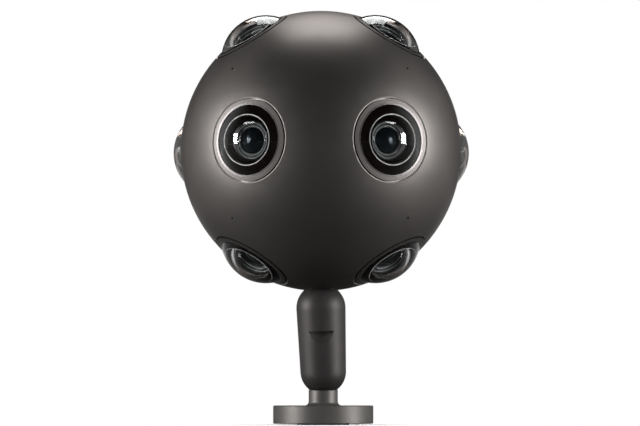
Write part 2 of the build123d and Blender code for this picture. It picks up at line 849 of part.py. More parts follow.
# Hollow between the rear shell's skin and the wall of the cartridge bay
mouth_inner = mouth_offset - rear_wall
bay_outer_radius = bay_radius + bay_wall
panel_height = tail_radius(panel_offset) - panel_depth
top_panel = Plane(
    origin=head_centre + Vector(0, panel_offset, panel_height),
    x_dir=(0, cos(taper_angle), -sin(taper_angle)),
    z_dir=(0, sin(taper_angle), cos(taper_angle)),
)
lower_panel = Plane(
    origin=head_centre + Vector(0, panel_offset, -panel_height),
    x_dir=(0, cos(taper_angle), sin(taper_angle)),
    z_dir=(0, sin(taper_angle), -cos(taper_angle)),
)
with BuildPart() as rear_hollow:
    with BuildSketch(tail_plan):
        with BuildLine():
            Line((0, hollow_start), (hollow_start_radius, hollow_start))
            ThreePointArc(
                (hollow_start_radius, hollow_start),
                (rear_inner_seam, tail_seam),
                flare_point(rear_wall, flare_angle),
            )
            ThreePointArc(
                flare_point(rear_wall, flare_angle),
                flare_point(rear_wall, flare_middle_angle),
                flare_point(rear_wall, taper_angle),
            )
            Polyline(
                flare_point(rear_wall, taper_angle),
                (tail_radius(mouth_inner, rear_wall), mouth_inner),
                (bay_outer_radius, mouth_inner),
                (bay_outer_radius, bay_floor - bay_wall),
                (0, bay_floor - bay_wall),
                (0, hollow_start),
            )
        make_face()
    revolve(axis=head_axis)
    for panel in (top_panel, lower_panel):
        with BuildSketch(panel.offset(-panel_wall)):
            SlotOverall(panel_length + 2 * panel_rim, panel_width + 2 * panel_rim)
        extrude(amount=panel_wall + panel_depth + overrun, mode=Mode.SUBTRACT)
    with BuildSketch(tail_plane(wheel_back + seat_gap)):
        with PolarLocations(screw_circle, screw_count):
            Circle(screw_boss_radius)
    extrude(amount=mouth_offset, mode=Mode.SUBTRACT)

# Rear shell: tail with the bay, the two panels and the screw wells
with BuildPart() as rear_shell:
    with BuildSketch(tail_plan):
        with BuildLine():
            Line((0, tail_seam), (rear_seam_radius, tail_seam))
            ThreePointArc(
                (rear_seam_radius, tail_seam),
                (arc_height(body_radius, flare_run), flare_run),
                flare_point(0, flare_angle),
            )
            ThreePointArc(
                flare_point(0, flare_angle),
                flare_point(0, flare_middle_angle),
                flare_point(0, taper_angle),
            )
            Polyline(
                flare_point(0, taper_angle),
                (tail_radius(mouth_offset), mouth_offset),
                (0, mouth_offset),
                (0, tail_seam),
            )
        make_face()
    revolve(axis=head_axis)
    add(rear_hollow.part, mode=Mode.SUBTRACT)
    with BuildSketch(tail_plane(bay_floor)):
        Circle(bay_radius)
        with Locations((0, bay_radius)):
            Rectangle(key_width + 2 * slide_gap, 2 * (key_height + slide_gap))
    extrude(amount=mouth_offset, mode=Mode.SUBTRACT)
    for panel in (top_panel, lower_panel):
        with BuildSketch(panel):
            SlotOverall(panel_length, panel_width)
        extrude(amount=panel_depth + overrun, mode=Mode.SUBTRACT)
    with BuildSketch(top_panel.offset(-panel_wall)):
        with Locations((power_button_place, 0)):
            Circle(power_button_radius + open_gap)
        with Locations((record_button_place, 0)):
            Circle(record_button_radius + open_gap)
        Circle(light_radius + seat_gap)
    extrude(amount=panel_wall, mode=Mode.SUBTRACT)
    with BuildSketch(lower_panel.offset(-panel_wall)):
        with Locations((-connector_pitch, 0)):
            Circle(power_inlet_radius + seat_gap)
        Circle(video_radius + seat_gap)
        with Locations((connector_pitch, 0)):
            SlotOverall(data_width + 2 * seat_gap, data_height + 2 * seat_gap)
    extrude(amount=panel_wall, mode=Mode.SUBTRACT)
    with BuildSketch(tail_plane(screw_well_floor)):
        with PolarLocations(screw_circle, screw_count):
            Circle(screw_well_radius)
    extrude(amount=mouth_offset, mode=Mode.SUBTRACT)
    with BuildSketch(tail_plane(wheel_back)):
        with PolarLocations(screw_circle, screw_count):
            Circle(screw_radius + seat_gap)
    extrude(amount=screw_well_floor - wheel_back, mode=Mode.SUBTRACT)
rear_shell.part.label = "rear_shell"
export_step(rear_shell.part, "parts/rear_shell.step")

# Six screws through the rear shell and the wheel into the front shell's flange
with BuildPart() as shell_screws:
    with BuildSketch(tail_plane(flange_front + seat_gap)):
        with PolarLocations(screw_circle, screw_count):
            Circle(screw_radius)
    extrude(amount=screw_well_floor + screw_head_height - flange_front)
    with BuildSketch(tail_plane(screw_well_floor + seat_gap)):
        with PolarLocations(screw_circle, screw_count):
            Circle(screw_head_radius)
    extrude(amount=screw_head_height)
    with BuildSketch(tail_plane(screw_well_floor + seat_gap + screw_head_height)):
        with PolarLocations(screw_circle, screw_count):
            RegularPolygon(screw_socket_radius, 6)
    extrude(amount=-screw_socket_depth, mode=Mode.SUBTRACT)
shell_screws.part.label = "shell_screws"
export_step(shell_screws.part, "parts/shell_screws.step")

# Chassis: hub with eight flat seats and bosses, neck and windowed wheel
seat_plane_height = barrel_base - hub_boss_height
hollow_back = arc_height(hub_hollow_radius, chassis_neck_bore)
hub_back_radius = arc_height(hub_radius, hub_back)
with BuildPart() as chassis:
    with BuildSketch(front_plan):
        with BuildLine():
            ThreePointArc((0, -hub_radius), (hub_radius, 0), (hub_back_radius, hub_back))
            Polyline(
                (hub_back_radius, hub_back),
                (chassis_neck_radius, hub_back),
                (chassis_neck_radius, wheel_front),
                (chassis_neck_bore, wheel_front),
                (chassis_neck_bore, hollow_back),
            )
            ThreePointArc(
                (chassis_neck_bore, hollow_back),
                (hub_hollow_radius, 0),
                (0, -hub_hollow_radius),
            )
            Line((0, -hub_hollow_radius), (0, -hub_radius))
        make_face()
    revolve(axis=head_axis)
    for place in lens_places.values():
        split(bisect_by=place.offset(seat_plane_height), keep=Keep.BOTTOM)
    for place in lens_places.values():
        with BuildSketch(place.offset(seat_plane_height)):
            Circle(hub_boss_radius)
            Circle(hub_pocket_radius, mode=Mode.SUBTRACT)
        extrude(amount=hub_boss_height)
    with BuildSketch(tail_plane(wheel_front)):
        Circle(wheel_radius)
        Circle(chassis_neck_bore, mode=Mode.SUBTRACT)
        with PolarLocations(wheel_window_circle, wheel_windows):
            Circle(wheel_window_radius, mode=Mode.SUBTRACT)
        with PolarLocations(screw_circle, screw_count):
            Circle(screw_radius + seat_gap, mode=Mode.SUBTRACT)
    extrude(amount=wheel_thickness)
    with BuildSketch(tail_plane(wheel_back)):
        with PolarLocations(post_circle, post_count, start_angle=post_start):
            Circle(post_radius)
    extrude(amount=post_height)
    for place in lens_places.values():
        with BuildSketch(place.offset(hub_hollow_radius - overrun)):
            Rectangle(flex_slot_width, flex_slot_height)
        extrude(amount=seat_plane_height, mode=Mode.SUBTRACT)
chassis.part.label = "chassis"
export_step(chassis.part, "parts/chassis.step")

# Main board on the chassis posts, with the processor on its rear face
board_front = wheel_back + post_height + seat_gap
processor_front = board_front + board_thickness
with BuildPart() as main_board:
    with BuildSketch(tail_plane(board_front)):
        Circle(main_board_radius)
    extrude(amount=board_thickness)
    with BuildSketch(tail_plane(processor_front)):
        Rectangle(processor_width, processor_width)
    extrude(amount=processor_height)
main_board.part.label = "main_board"
export_step(main_board.part, "parts/main_board.step")

# Finned heat spreader on the processor
spreader_front = processor_front + processor_height + seat_gap
fin_pitch = (spreader_width - fin_thickness) / (fin_count - 1)
with BuildPart() as heat_spreader:
    with BuildSketch(tail_plane(spreader_front)):
        Rectangle(spreader_width, spreader_width)
    extrude(amount=spreader_plate)
    with BuildSketch(tail_plane(spreader_front + spreader_plate)):
        with GridLocations(fin_pitch, 0, fin_count, 1):
            Rectangle(fin_thickness, spreader_width)
    extrude(amount=fin_height)
heat_spreader.part.label = "heat_spreader"
export_step(heat_spreader.part, "parts/heat_spreader.step")

# Eight lenses, each with its trim ring, front element and barrel
ring_top = arc_height(body_radius, ring_bore + ring_band)
dome_rim = dome_centre + arc_height(dome_radius, dome_rim_radius)
dome_back = flange_top + seat_gap
hollow_centre = dome_back - arc_height(dome_hollow_radius, dome_hollow_rim)
for name, place in lens_places.items():
    with BuildPart() as trim_ring:
        with BuildSketch(section_of(place)):
            with BuildLine():
                axis_arc(body_radius, ring_bore + ring_band, ring_radius)
                Polyline(
                    (ring_radius, arc_height(body_radius, ring_radius)),
                    (ring_radius, seat_height),
                    (ring_shoulder_radius, seat_height),
                    (ring_shoulder_radius, dome_back),
                    (ring_bore, dome_back),
                    (ring_bore, ring_top + ring_band_rise),
                    (ring_bore + ring_band, ring_top),
                )
            make_face()
        revolve(axis=axis_of(place))
    trim_ring.part.label = f"{name}_trim_ring"
    export_step(trim_ring.part, f"parts/{name}_trim_ring.step")

    with BuildPart() as front_element:
        with BuildSketch(section_of(place)):
            with BuildLine():
                axis_arc(dome_radius, 0, dome_rim_radius, dome_centre)
                Polyline(
                    (dome_rim_radius, dome_rim),
                    (dome_rim_radius, dome_back),
                    (dome_hollow_rim, dome_back),
                )
                axis_arc(dome_hollow_radius, dome_hollow_rim, 0, hollow_centre)
                Line((0, hollow_centre + dome_hollow_radius), (0, dome_centre + dome_radius))
            make_face()
        revolve(axis=axis_of(place))
    front_element.part.label = f"{name}_front_element"
    export_step(front_element.part, f"parts/{name}_front_element.step")

    with BuildPart() as barrel:
        with BuildSketch(section_of(place)):
            with BuildLine():
                Polyline(
                    (barrel_radius, barrel_base),
                    (barrel_radius, flange_top - flange_height),
                    (flange_radius, flange_top - flange_height),
                    (flange_radius, flange_top),
                    (dome_hollow_rim, flange_top),
                    (throat_radius, first_step_height),
                    (first_step_radius, first_step_height),
                    (second_step_radius, second_step_height),
                    (stop_radius, stop_top),
                    (stop_radius, stop_bottom),
                    (inner_lens_radius + running_gap, stop_bottom),
                    (inner_lens_radius + running_gap, barrel_bore_height),
                    (barrel_bore, barrel_bore_height),
                    (barrel_bore, barrel_base),
                    close=True,
                )
            make_face()
        revolve(axis=axis_of(place))
    barrel.part.label = f"{name}_barrel"
    export_step(barrel.part, f"parts/{name}_barrel.step")

# Inner elements, each biconvex and held under its barrel's stop
inner_lens_top = stop_bottom - inner_lens_drop
inner_lens_bottom = inner_lens_top - inner_lens_edge
inner_sag = arc_height(inner_lens_curve, inner_lens_radius)
with BuildPart() as inner_elements:
    for place in lens_places.values():
        with BuildSketch(section_of(place)):
            with BuildLine():
                axis_arc(inner_lens_curve, 0, inner_lens_radius, inner_lens_top - inner_sag)
                Line((inner_lens_radius, inner_lens_top), (inner_lens_radius, inner_lens_bottom))
                axis_arc(inner_lens_curve, inner_lens_radius, 0, inner_lens_bottom + inner_sag, -1)
                Line(
                    (0, inner_lens_bottom + inner_sag - inner_lens_curve),
                    (0, inner_lens_top - inner_sag + inner_lens_curve),
                )
            make_face()
        revolve(axis=axis_of(place))
inner_elements.part.label = "inner_elements"
export_step(inner_elements.part, "parts/inner_elements.step")

# Sensor boards under the barrels, each with its sensor and its flexible tail
board_base = barrel_base - seat_gap - board_thickness
with BuildPart() as sensor_boards:
    for place in lens_places.values():
        with BuildSketch(place.offset(board_base)):
            Circle(sensor_board_radius)
        extrude(amount=board_thickness)
        with BuildSketch(place.offset(board_base + board_thickness)):
            Rectangle(sensor_width, sensor_height)
        extrude(amount=sensor_thickness)
        with BuildSketch(place.offset(board_base - flex_length)):
            Rectangle(flex_width, flex_thickness)
        extrude(amount=flex_length)
sensor_boards.part.label = "sensor_boards"
export_step(sensor_boards.part, "parts/sensor_boards.step")

# Microphones against the inside of the front shell, behind its small holes
microphone_top = arc_height(inner_radius, microphone_radius) - seat_gap
with BuildPart() as microphones:
    for place in microphone_places:
        with BuildSketch(place.offset(microphone_top - microphone_thickness)):
            Circle(microphone_radius)
        extrude(amount=microphone_thickness)
microphones.part.label = "microphones"
export_step(microphones.part, "parts/microphones.step")

# Bottom bush: threaded for the upper stud, dished for the arm's round upper end
dish_mouth = (body_radius**2 - upper_dish_radius**2 + (body_radius + ball_to_body)**2) / (
    2 * (body_radius + ball_to_body)
)
dish_mouth_radius = arc_height(body_radius, dish_mouth)
ball_depth = body_radius + ball_to_body
bush_bore = stud_thread_radius + seat_gap
with BuildPart() as mount_bush:
    with BuildSketch(section_of(head_down)):
        with BuildLine():
            axis_arc(body_radius, bush_radius, dish_mouth_radius)
            axis_arc(upper_dish_radius, dish_mouth_radius, bush_bore, ball_depth, -1)
            Polyline(
                (bush_bore, ball_depth - arc_height(upper_dish_radius, bush_bore)),
                (bush_bore, bush_top_height),
                (bush_neck_radius, bush_top_height),
                (bush_neck_radius, bush_seat_height - seat_gap - bush_flange_thickness),
                (bush_flange_radius, bush_seat_height - seat_gap - bush_flange_thickness),
                (bush_flange_radius, bush_seat_height - seat_gap),
                (bush_radius, bush_seat_height - seat_gap),
                (bush_radius, arc_height(body_radius, bush_radius)),
            )
        make_face()
    revolve(axis=axis_of(head_down))
    with BuildSketch(head_down.offset(bush_seat_height - overrun * 2)):
        with PolarLocations(bush_screw_circle, bush_screw_count):
            Circle(bush_screw_radius + seat_gap)
    extrude(amount=overrun * 2, mode=Mode.SUBTRACT)
mount_bush.part.label = "mount_bush"
export_step(mount_bush.part, "parts/mount_bush.step")

# Three screws that hold the bush's flange on its boss
flange_inside = bush_seat_height - seat_gap - bush_flange_thickness
with BuildPart() as bush_screws:
    with BuildSketch(head_down.offset(flange_inside - bush_screw_head_height)):
        with PolarLocations(bush_screw_circle, bush_screw_count):
            Circle(bush_screw_radius)
    extrude(amount=bush_screw_head_height + bush_flange_thickness + bush_screw_reach)
    with BuildSketch(head_down.offset(flange_inside - seat_gap - bush_screw_head_height)):
        with PolarLocations(bush_screw_circle, bush_screw_count):
            Circle(bush_screw_head_radius)
    extrude(amount=bush_screw_head_height)
bush_screws.part.label = "bush_screws"
export_step(bush_screws.part, "parts/bush_screws.step")


# Button with a flange under the panel, on the top panel at a distance along it
def make_button(distance, radius):
    with BuildPart() as button:
        with BuildSketch(top_panel.offset(-panel_wall - open_gap)):
            with Locations((distance, 0)):
                Circle(radius)
        extrude(amount=panel_wall + open_gap + button_rise)
        chamfer(button.faces().sort_by(axis_of(top_panel))[-1].edges(), button_edge)
        with BuildSketch(top_panel.offset(-panel_wall - open_gap)):
            with Locations((distance, 0)):
                Circle(radius + button_flange)
        extrude(amount=-button_flange_thickness)
    return button.part


power_button = make_button(power_button_place, power_button_radius)
power_button.label = "power_button"
export_step(power_button, "parts/power_button.step")

record_button = make_button(record_button_place, record_button_radius)
record_button.label = "record_button"
export_step(record_button, "parts/record_button.step")

# Switches under the buttons, standing on the bay's wall
switch_top = -panel_wall - open_gap - button_flange_thickness - button_travel - open_gap
with BuildPart() as button_switches:
    with BuildSketch(top_panel.offset(switch_top)):
        with Locations((power_button_place, 0), (record_button_place, 0)):
            Rectangle(switch_width, switch_width)
    extrude(amount=-panel_height / 2)
    with BuildSketch(tail_plane(0)):
        Circle(bay_outer_radius + seat_gap)
    extrude(amount=head_length, mode=Mode.SUBTRACT)
button_switches.part.label = "button_switches"
export_step(button_switches.part, "parts/button_switches.step")

# Status light: a clear pipe between the buttons, flanged under the panel
with BuildPart() as status_light:
    with BuildSketch(top_panel.offset(-panel_wall - seat_gap)):
        Circle(light_radius)
    extrude(amount=panel_wall + seat_gap)
    with BuildSketch(top_panel.offset(-panel_wall - seat_gap)):
        Circle(light_radius + light_flange)
    extrude(amount=-light_flange)
status_light.part.label = "status_light"
export_step(status_light.part, "parts/status_light.step")


# Round connector through the lower panel: body, collar, bore and pin
def make_round_connector(distance, radius, bore, pin, rise):
    with BuildPart() as connector:
        with BuildSketch(lower_panel.offset(-connector_depth)):
            with Locations((distance, 0)):
                Circle(radius)
        extrude(amount=connector_depth + rise)
        with BuildSketch(lower_panel.offset(seat_gap)):
            with Locations((distance, 0)):
                Circle(radius + collar_width)
        extrude(amount=collar_rise)
        with BuildSketch(lower_panel.offset(rise)):
            with Locations((distance, 0)):
                Circle(bore)
                Circle(pin, mode=Mode.SUBTRACT)
        extrude(amount=-socket_depth, mode=Mode.SUBTRACT)
    return connector.part


power_inlet = make_round_connector(
    -connector_pitch, power_inlet_radius, power_inlet_bore, power_pin_radius, collar_rise + seat_gap
)
power_inlet.label = "power_inlet"
export_step(power_inlet, "parts/power_inlet.step")

video_output = make_round_connector(0, video_radius, video_bore, video_pin_radius, video_rise)
video_output.label = "video_output"
export_step(video_output, "parts/video_output.step")

# Oblong data socket with a tongue, through the lower panel
with BuildPart() as data_socket:
    with BuildSketch(lower_panel.offset(-connector_depth)):
        with Locations((connector_pitch, 0)):
            SlotOverall(data_width, data_height)
    extrude(amount=connector_depth + collar_rise)
    with BuildSketch(lower_panel.offset(seat_gap)):
        with Locations((connector_pitch, 0)):
            SlotOverall(data_width + collar_width, data_height + collar_width)
    extrude(amount=collar_rise - seat_gap)
    with BuildSketch(lower_panel.offset(collar_rise)):
        with Locations((connector_pitch, 0)):
            SlotOverall(data_opening_width, data_opening_height)
    extrude(amount=-socket_depth, mode=Mode.SUBTRACT)
    with BuildSketch(lower_panel.offset(collar_rise - socket_depth)):
        with Locations((connector_pitch, 0)):
            Rectangle(data_tongue_width, data_tongue_height)
    extrude(amount=tongue_length)
data_socket.part.label = "data_socket"
export_step(data_socket.part, "parts/data_socket.step")

# Connector on the bay's floor that meets the cartridge
with BuildPart() as bay_connector:
    with BuildSketch(tail_plane(bay_floor + seat_gap)):
        with Locations((0, -contact_lift)):
            Rectangle(contact_width, contact_height)
    extrude(amount=contact_length)
bay_connector.part.label = "bay_connector"
export_step(bay_connector.part, "parts/bay_connector.step")

# Cartridge case: a keyed cylinder that slides in the bay, with the ribbed end of the tail on it
case_front = bay_floor + cartridge_gap
case_radius = bay_radius - slide_gap
cap_front = mouth_offset + cartridge_gap
with BuildPart() as cartridge_case:
    with BuildSketch(tail_plane(case_front)):
        Circle(case_radius)
    extrude(amount=cap_front - case_front)
    with BuildSketch(tail_plan):
        with BuildLine():
            Polyline(
                (0, cap_front),
                (tail_radius(cap_front), cap_front),
                (tail_radius(tail_end), tail_end),
                (0, tail_end),
                close=True,
            )
        make_face()
    revolve(axis=head_axis)
    fillet(cartridge_case.faces().sort_by(Axis.Y)[-1].edges(), cap_round)
    for groove in range(grip_grooves):
        groove_front = cap_front + grip_offset + groove * grip_pitch
        with BuildSketch(tail_plane(groove_front)):
            Circle(body_radius)
            Circle(tail_radius(groove_front) - grip_depth, mode=Mode.SUBTRACT)
        extrude(amount=grip_width, mode=Mode.SUBTRACT)
    with BuildSketch(tail_plane(case_front)):
        with Locations((0, bay_radius - key_height / 2)):
            Rectangle(key_width, key_height * 2)
    extrude(amount=pack_length)
    with BuildSketch(tail_plane(case_front)):
        with Locations((0, -battery_lift)):
            Rectangle(battery_width + 2 * seat_gap, battery_height + 2 * seat_gap)
        with Locations((0, -drive_lift)):
            Rectangle(drive_width + 2 * seat_gap, drive_height + 2 * seat_gap)
    extrude(amount=pack_length + pack_recess + seat_gap, mode=Mode.SUBTRACT)
    with BuildSketch(tail_plane(case_front)):
        with Locations((0, -contact_lift)):
            Rectangle(contact_width + 2 * slide_gap, contact_height + 2 * slide_gap)
    extrude(amount=contact_length + slide_gap, mode=Mode.SUBTRACT)
cartridge_case.part.label = "cartridge_case"
export_step(cartridge_case.part, "parts/cartridge_case.step")

with BuildPart() as battery_pack:
    with BuildSketch(tail_plane(case_front + pack_recess)):
        with Locations((0, -battery_lift)):
            Rectangle(battery_width, battery_height)
    extrude(amount=pack_length)
battery_pack.part.label = "battery_pack"
export_step(battery_pack.part, "parts/battery_pack.step")

with BuildPart() as storage_drive:
    with BuildSketch(tail_plane(case_front + pack_recess)):
        with Locations((0, -drive_lift)):
            Rectangle(drive_width, drive_height)
    extrude(amount=pack_length)
storage_drive.part.label = "storage_drive"
export_step(storage_drive.part, "parts/storage_drive.step")
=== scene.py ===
import math

import bpy
from mathutils import Matrix, Vector


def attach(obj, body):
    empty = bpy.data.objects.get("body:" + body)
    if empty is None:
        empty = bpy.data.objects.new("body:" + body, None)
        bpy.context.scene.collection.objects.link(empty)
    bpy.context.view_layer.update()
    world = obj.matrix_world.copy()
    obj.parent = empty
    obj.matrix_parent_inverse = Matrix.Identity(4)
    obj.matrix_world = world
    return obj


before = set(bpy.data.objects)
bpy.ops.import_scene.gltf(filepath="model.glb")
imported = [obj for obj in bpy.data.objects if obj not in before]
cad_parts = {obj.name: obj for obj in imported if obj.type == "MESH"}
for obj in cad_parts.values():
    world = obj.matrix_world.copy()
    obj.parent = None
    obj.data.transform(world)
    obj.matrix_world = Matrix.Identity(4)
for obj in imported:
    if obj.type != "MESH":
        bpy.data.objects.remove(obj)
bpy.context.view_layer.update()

bpy.ops.object.select_all(action="DESELECT")
print("frame loaded:", len(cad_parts), "nodes")

origin = (0.0, 0.0, 0.0)
upward = (0.0, 0.0, 1.0)
headCentre = Vector((-0.001257, -0.003467, 0.155762))  # metres, the middle of the ball
lensAngles = {  # degrees round the head from the front, and above its equator
    "front_left": (-30.5, 0.0),
    "front_right": (30.5, 0.0),
    "side_left": (-102.0, 0.0),
    "side_right": (102.0, 0.0),
    "upper_left": (-66.6, 56.25),
    "upper_right": (66.6, 56.25),
    "lower_left": (-66.6, -56.25),
    "lower_right": (66.6, -56.25),
}


def axisOf(turn, rise):
    turn = math.radians(turn)
    rise = math.radians(rise)
    return Vector((math.sin(turn) * math.cos(rise), -math.cos(turn) * math.cos(rise), math.sin(rise)))


def placeOnLens(face, axis):  # metres along the lens axis and off it, and the cosine of the face's lean
    arm = Vector(face.center) - headCentre
    along = arm.dot(axis)
    return along, (arm - axis * along).length, face.normal.dot(axis)


# Node helpers: each adds a node to a tree and gives back its output


def feed(tree, socket, value):  # links another node's output, or sets a plain value
    if isinstance(value, bpy.types.NodeSocket):
        tree.links.new(value, socket)
    elif value is not None:
        socket.default_value = value


def addPlace(tree):
    return tree.nodes.new("ShaderNodeTexCoord").outputs["Object"]


def addMath(tree, operation, first, second=None, third=None, clamp=False):
    node = tree.nodes.new("ShaderNodeMath")
    node.operation = operation
    node.use_clamp = clamp
    for slot, value in enumerate((first, second, third)):
        feed(tree, node.inputs[slot], value)
    return node.outputs[0]


def addVector(tree, operation, first, second=None, factor=None):
    node = tree.nodes.new("ShaderNodeVectorMath")
    node.operation = operation
    feed(tree, node.inputs[0], first)
    feed(tree, node.inputs[1], second)
    if factor is not None:
        feed(tree, node.inputs["Scale"], factor)
    return node.outputs["Value" if operation in ("DOT_PRODUCT", "LENGTH") else "Vector"]


def addNoise(tree, place, scale, detail, roughness=0.5):
    node = tree.nodes.new("ShaderNodeTexNoise")
    for label, value in (("Vector", place), ("Scale", scale), ("Detail", detail), ("Roughness", roughness)):
        feed(tree, node.inputs[label], value)
    return node.outputs["Fac"]


def addRange(tree, value, low, high, newLow, newHigh):
    node = tree.nodes.new("ShaderNodeMapRange")
    node.clamp = True
    labels = ("Value", "From Min", "From Max", "To Min", "To Max")
    for label, item in zip(labels, (value, low, high, newLow, newHigh)):
        feed(tree, node.inputs[label], item)
    return node.outputs["Result"]


def addTint(tree, factor, first, second):  # a Mix node takes colours at 6 and 7, and gives one at 2
    node = tree.nodes.new("ShaderNodeMix")
    node.data_type = "RGBA"
    for slot, item in ((0, factor), (6, first), (7, second)):
        feed(tree, node.inputs[slot], item)
    return node.outputs[2]


def addShaderMix(tree, factor, first, second):
    node = tree.nodes.new("ShaderNodeMixShader")
    for slot, item in enumerate((factor, first, second)):
        feed(tree, node.inputs[slot], item)
    return node.outputs[0]


def addSeenRay(tree):  # 1 for what the camera sees, also in metal or through glass, and 0 for other light
    light = tree.nodes.new("ShaderNodeLightPath")
    seen = addMath(tree, "ADD", light.outputs["Is Camera Ray"], light.outputs["Is Glossy Ray"])
    return addMath(tree, "ADD", seen, light.outputs["Is Transmission Ray"], clamp=True)


# Shader groups that several finishes share


def newGroup(name, inputs, outputs):
    group = bpy.data.node_groups.new(name, "ShaderNodeTree")
    for label, kind, value in inputs:
        socket = group.interface.new_socket(label, in_out="INPUT", socket_type="NodeSocket" + kind)
        socket.default_value = value
    for label, kind in outputs:
        group.interface.new_socket(label, in_out="OUTPUT", socket_type="NodeSocket" + kind)
    inside = group.nodes.new("NodeGroupInput").outputs
    outside = group.nodes.new("NodeGroupOutput").inputs
    return group, inside, outside


blastedGrain = {
    "pitDetail": 3.0, "pitRough": 0.6, "pitShade": 0.09, "cloudScale": 42.0, "cloudDetail": 4.0,
    "streakScale": 260.0, "streakDetail": 2.0, "streakShare": 0.35, "cloudShare": 0.65, "blend": (0.3, 0.7),
}


def makeBlastedGrain():  # bead-blasted, anodised metal: fine pits and a faint cloudiness
    group, inside, outside = newGroup(
        "blastedGrain",
        [
            ("Tint", "Color", (0.1, 0.1, 0.1, 1.0)),
            ("Pit Scale", "Float", 2600.0),
            ("Cloud", "Float", 0.06),
            ("Rough Low", "Float", 0.36),
            ("Rough High", "Float", 0.46),
        ],
        [("Color", "Color"), ("Roughness", "Float"), ("Height", "Float")],
    )
    place = addPlace(group)
    pits = addNoise(group, place, inside["Pit Scale"], blastedGrain["pitDetail"], blastedGrain["pitRough"])
    clouds = addNoise(group, place, blastedGrain["cloudScale"], blastedGrain["cloudDetail"])
    streaks = addNoise(group, place, blastedGrain["streakScale"], blastedGrain["streakDetail"])
    cloudShade = addMath(group, "MULTIPLY", addMath(group, "SUBTRACT", clouds, 0.5), inside["Cloud"])
    pitShade = addMath(group, "MULTIPLY", addMath(group, "SUBTRACT", pits, 0.5), blastedGrain["pitShade"])
    shade = addMath(group, "ADD", addMath(group, "ADD", cloudShade, pitShade), 1.0)
    feed(group, outside["Color"], addVector(group, "SCALE", inside["Tint"], factor=shade))
    blend = addMath(group, "MULTIPLY", clouds, blastedGrain["cloudShare"])
    blend = addMath(group, "MULTIPLY_ADD", streaks, blastedGrain["streakShare"], blend)
    rough = addRange(group, blend, *blastedGrain["blend"], inside["Rough Low"], inside["Rough High"])
    feed(group, outside["Roughness"], rough)
    feed(group, outside["Height"], pits)
    return group


turnedLines = {"wobbleScale": 420.0, "wobbleDetail": 2.0, "wobble": 0.7}


def makeTurnedLines():  # the fine rings that a lathe leaves round an axis
    group, inside, outside = newGroup(
        "turnedLines",
        [("Centre", "Vector", origin), ("Axis", "Vector", upward), ("Pitch", "Float", 0.0003)],
        [("Height", "Float"), ("Radius", "Float")],
    )
    place = addPlace(group)
    arm = addVector(group, "SUBTRACT", place, inside["Centre"])
    rise = addVector(group, "DOT_PRODUCT", arm, inside["Axis"])
    along = addVector(group, "SCALE", inside["Axis"], factor=rise)
    radius = addVector(group, "LENGTH", addVector(group, "SUBTRACT", arm, along))
    turns = addMath(group, "DIVIDE", addMath(group, "ADD", radius, rise), inside["Pitch"])
    noise = addNoise(group, place, turnedLines["wobbleScale"], turnedLines["wobbleDetail"])
    turns = addMath(group, "ADD", turns, addMath(group, "MULTIPLY", noise, turnedLines["wobble"]))
    wave = addMath(group, "SINE", addMath(group, "MULTIPLY", turns, math.tau))
    feed(group, outside["Height"], addMath(group, "MULTIPLY_ADD", wave, 0.5, 0.5))
    feed(group, outside["Radius"], radius)
    return group


settledDust = {
    "slope": (-0.4, 1.0), "underneath": 0.15, "filmScale": 75.0, "filmDetail": 5.0, "filmRough": 0.65,
    "filmRange": (0.45, 0.8), "filmMost": 0.6, "speckScale": 190.0, "speckReach": (0.03, 0.055),
}


def makeSettledDust():  # a thin film and a few specks, more on faces that look up
    group, inside, outside = newGroup("settledDust", [("Amount", "Float", 0.2)], [("Mask", "Float")])
    place = addPlace(group)
    normal = group.nodes.new("ShaderNodeNewGeometry").outputs["Normal"]
    slope = addVector(group, "DOT_PRODUCT", normal, upward)
    facing = addRange(group, slope, *settledDust["slope"], settledDust["underneath"], 1.0)
    film = addNoise(
        group, place, settledDust["filmScale"], settledDust["filmDetail"], settledDust["filmRough"],
    )
    film = addRange(group, film, *settledDust["filmRange"], 0.0, settledDust["filmMost"])
    speck = group.nodes.new("ShaderNodeTexVoronoi")
    feed(group, speck.inputs["Scale"], settledDust["speckScale"])
    feed(group, speck.inputs["Vector"], place)
    dots = addRange(group, speck.outputs["Distance"], *settledDust["speckReach"], 1.0, 0.0)
    mask = addMath(group, "MULTIPLY", addMath(group, "MAXIMUM", film, dots), facing)
    feed(group, outside["Mask"], addMath(group, "MULTIPLY", mask, inside["Amount"], clamp=True))
    return group


shaderGroups = {"grain": makeBlastedGrain(), "turned": makeTurnedLines(), "dust": makeSettledDust()}
print("shader groups made")


# What all finishes use


def newFinish(name, **sockets):
    finish = bpy.data.materials.new(name)
    finish.use_nodes = True
    shader = finish.node_tree.nodes["Principled BSDF"]
    for label, value in sockets.items():
        shader.inputs[label.replace("_", " ")].default_value = value
    return finish, finish.node_tree, shader


def placeGroup(tree, key, **sockets):
    node = tree.nodes.new("ShaderNodeGroup")
    node.node_tree = shaderGroups[key]
    for label, value in sockets.items():
        node.inputs[label.replace("_", " ")].default_value = value
    return node


def placeGrain(tree, look):
    return placeGroup(
        tree, "grain", Tint=(*look["tint"], 1.0), Pit_Scale=look["pitScale"], Cloud=look["cloud"],
        Rough_Low=look["rough"][0], Rough_High=look["rough"][1],
    )


def placeTurned(tree, centre, axis, pitch):
    return placeGroup(tree, "turned", Centre=centre, Axis=axis, Pitch=pitch)


def feedDusty(tree, shader, colour, rough, amount, dust):  # colour and roughness, with dust over them
    mask = placeGroup(tree, "dust", Amount=amount).outputs["Mask"]
    feed(tree, shader.inputs["Base Color"], addTint(tree, mask, colour, (*dust["tint"], 1.0)))
    feed(tree, shader.inputs["Roughness"], addMath(tree, "MULTIPLY_ADD", mask, dust["rough"], rough))


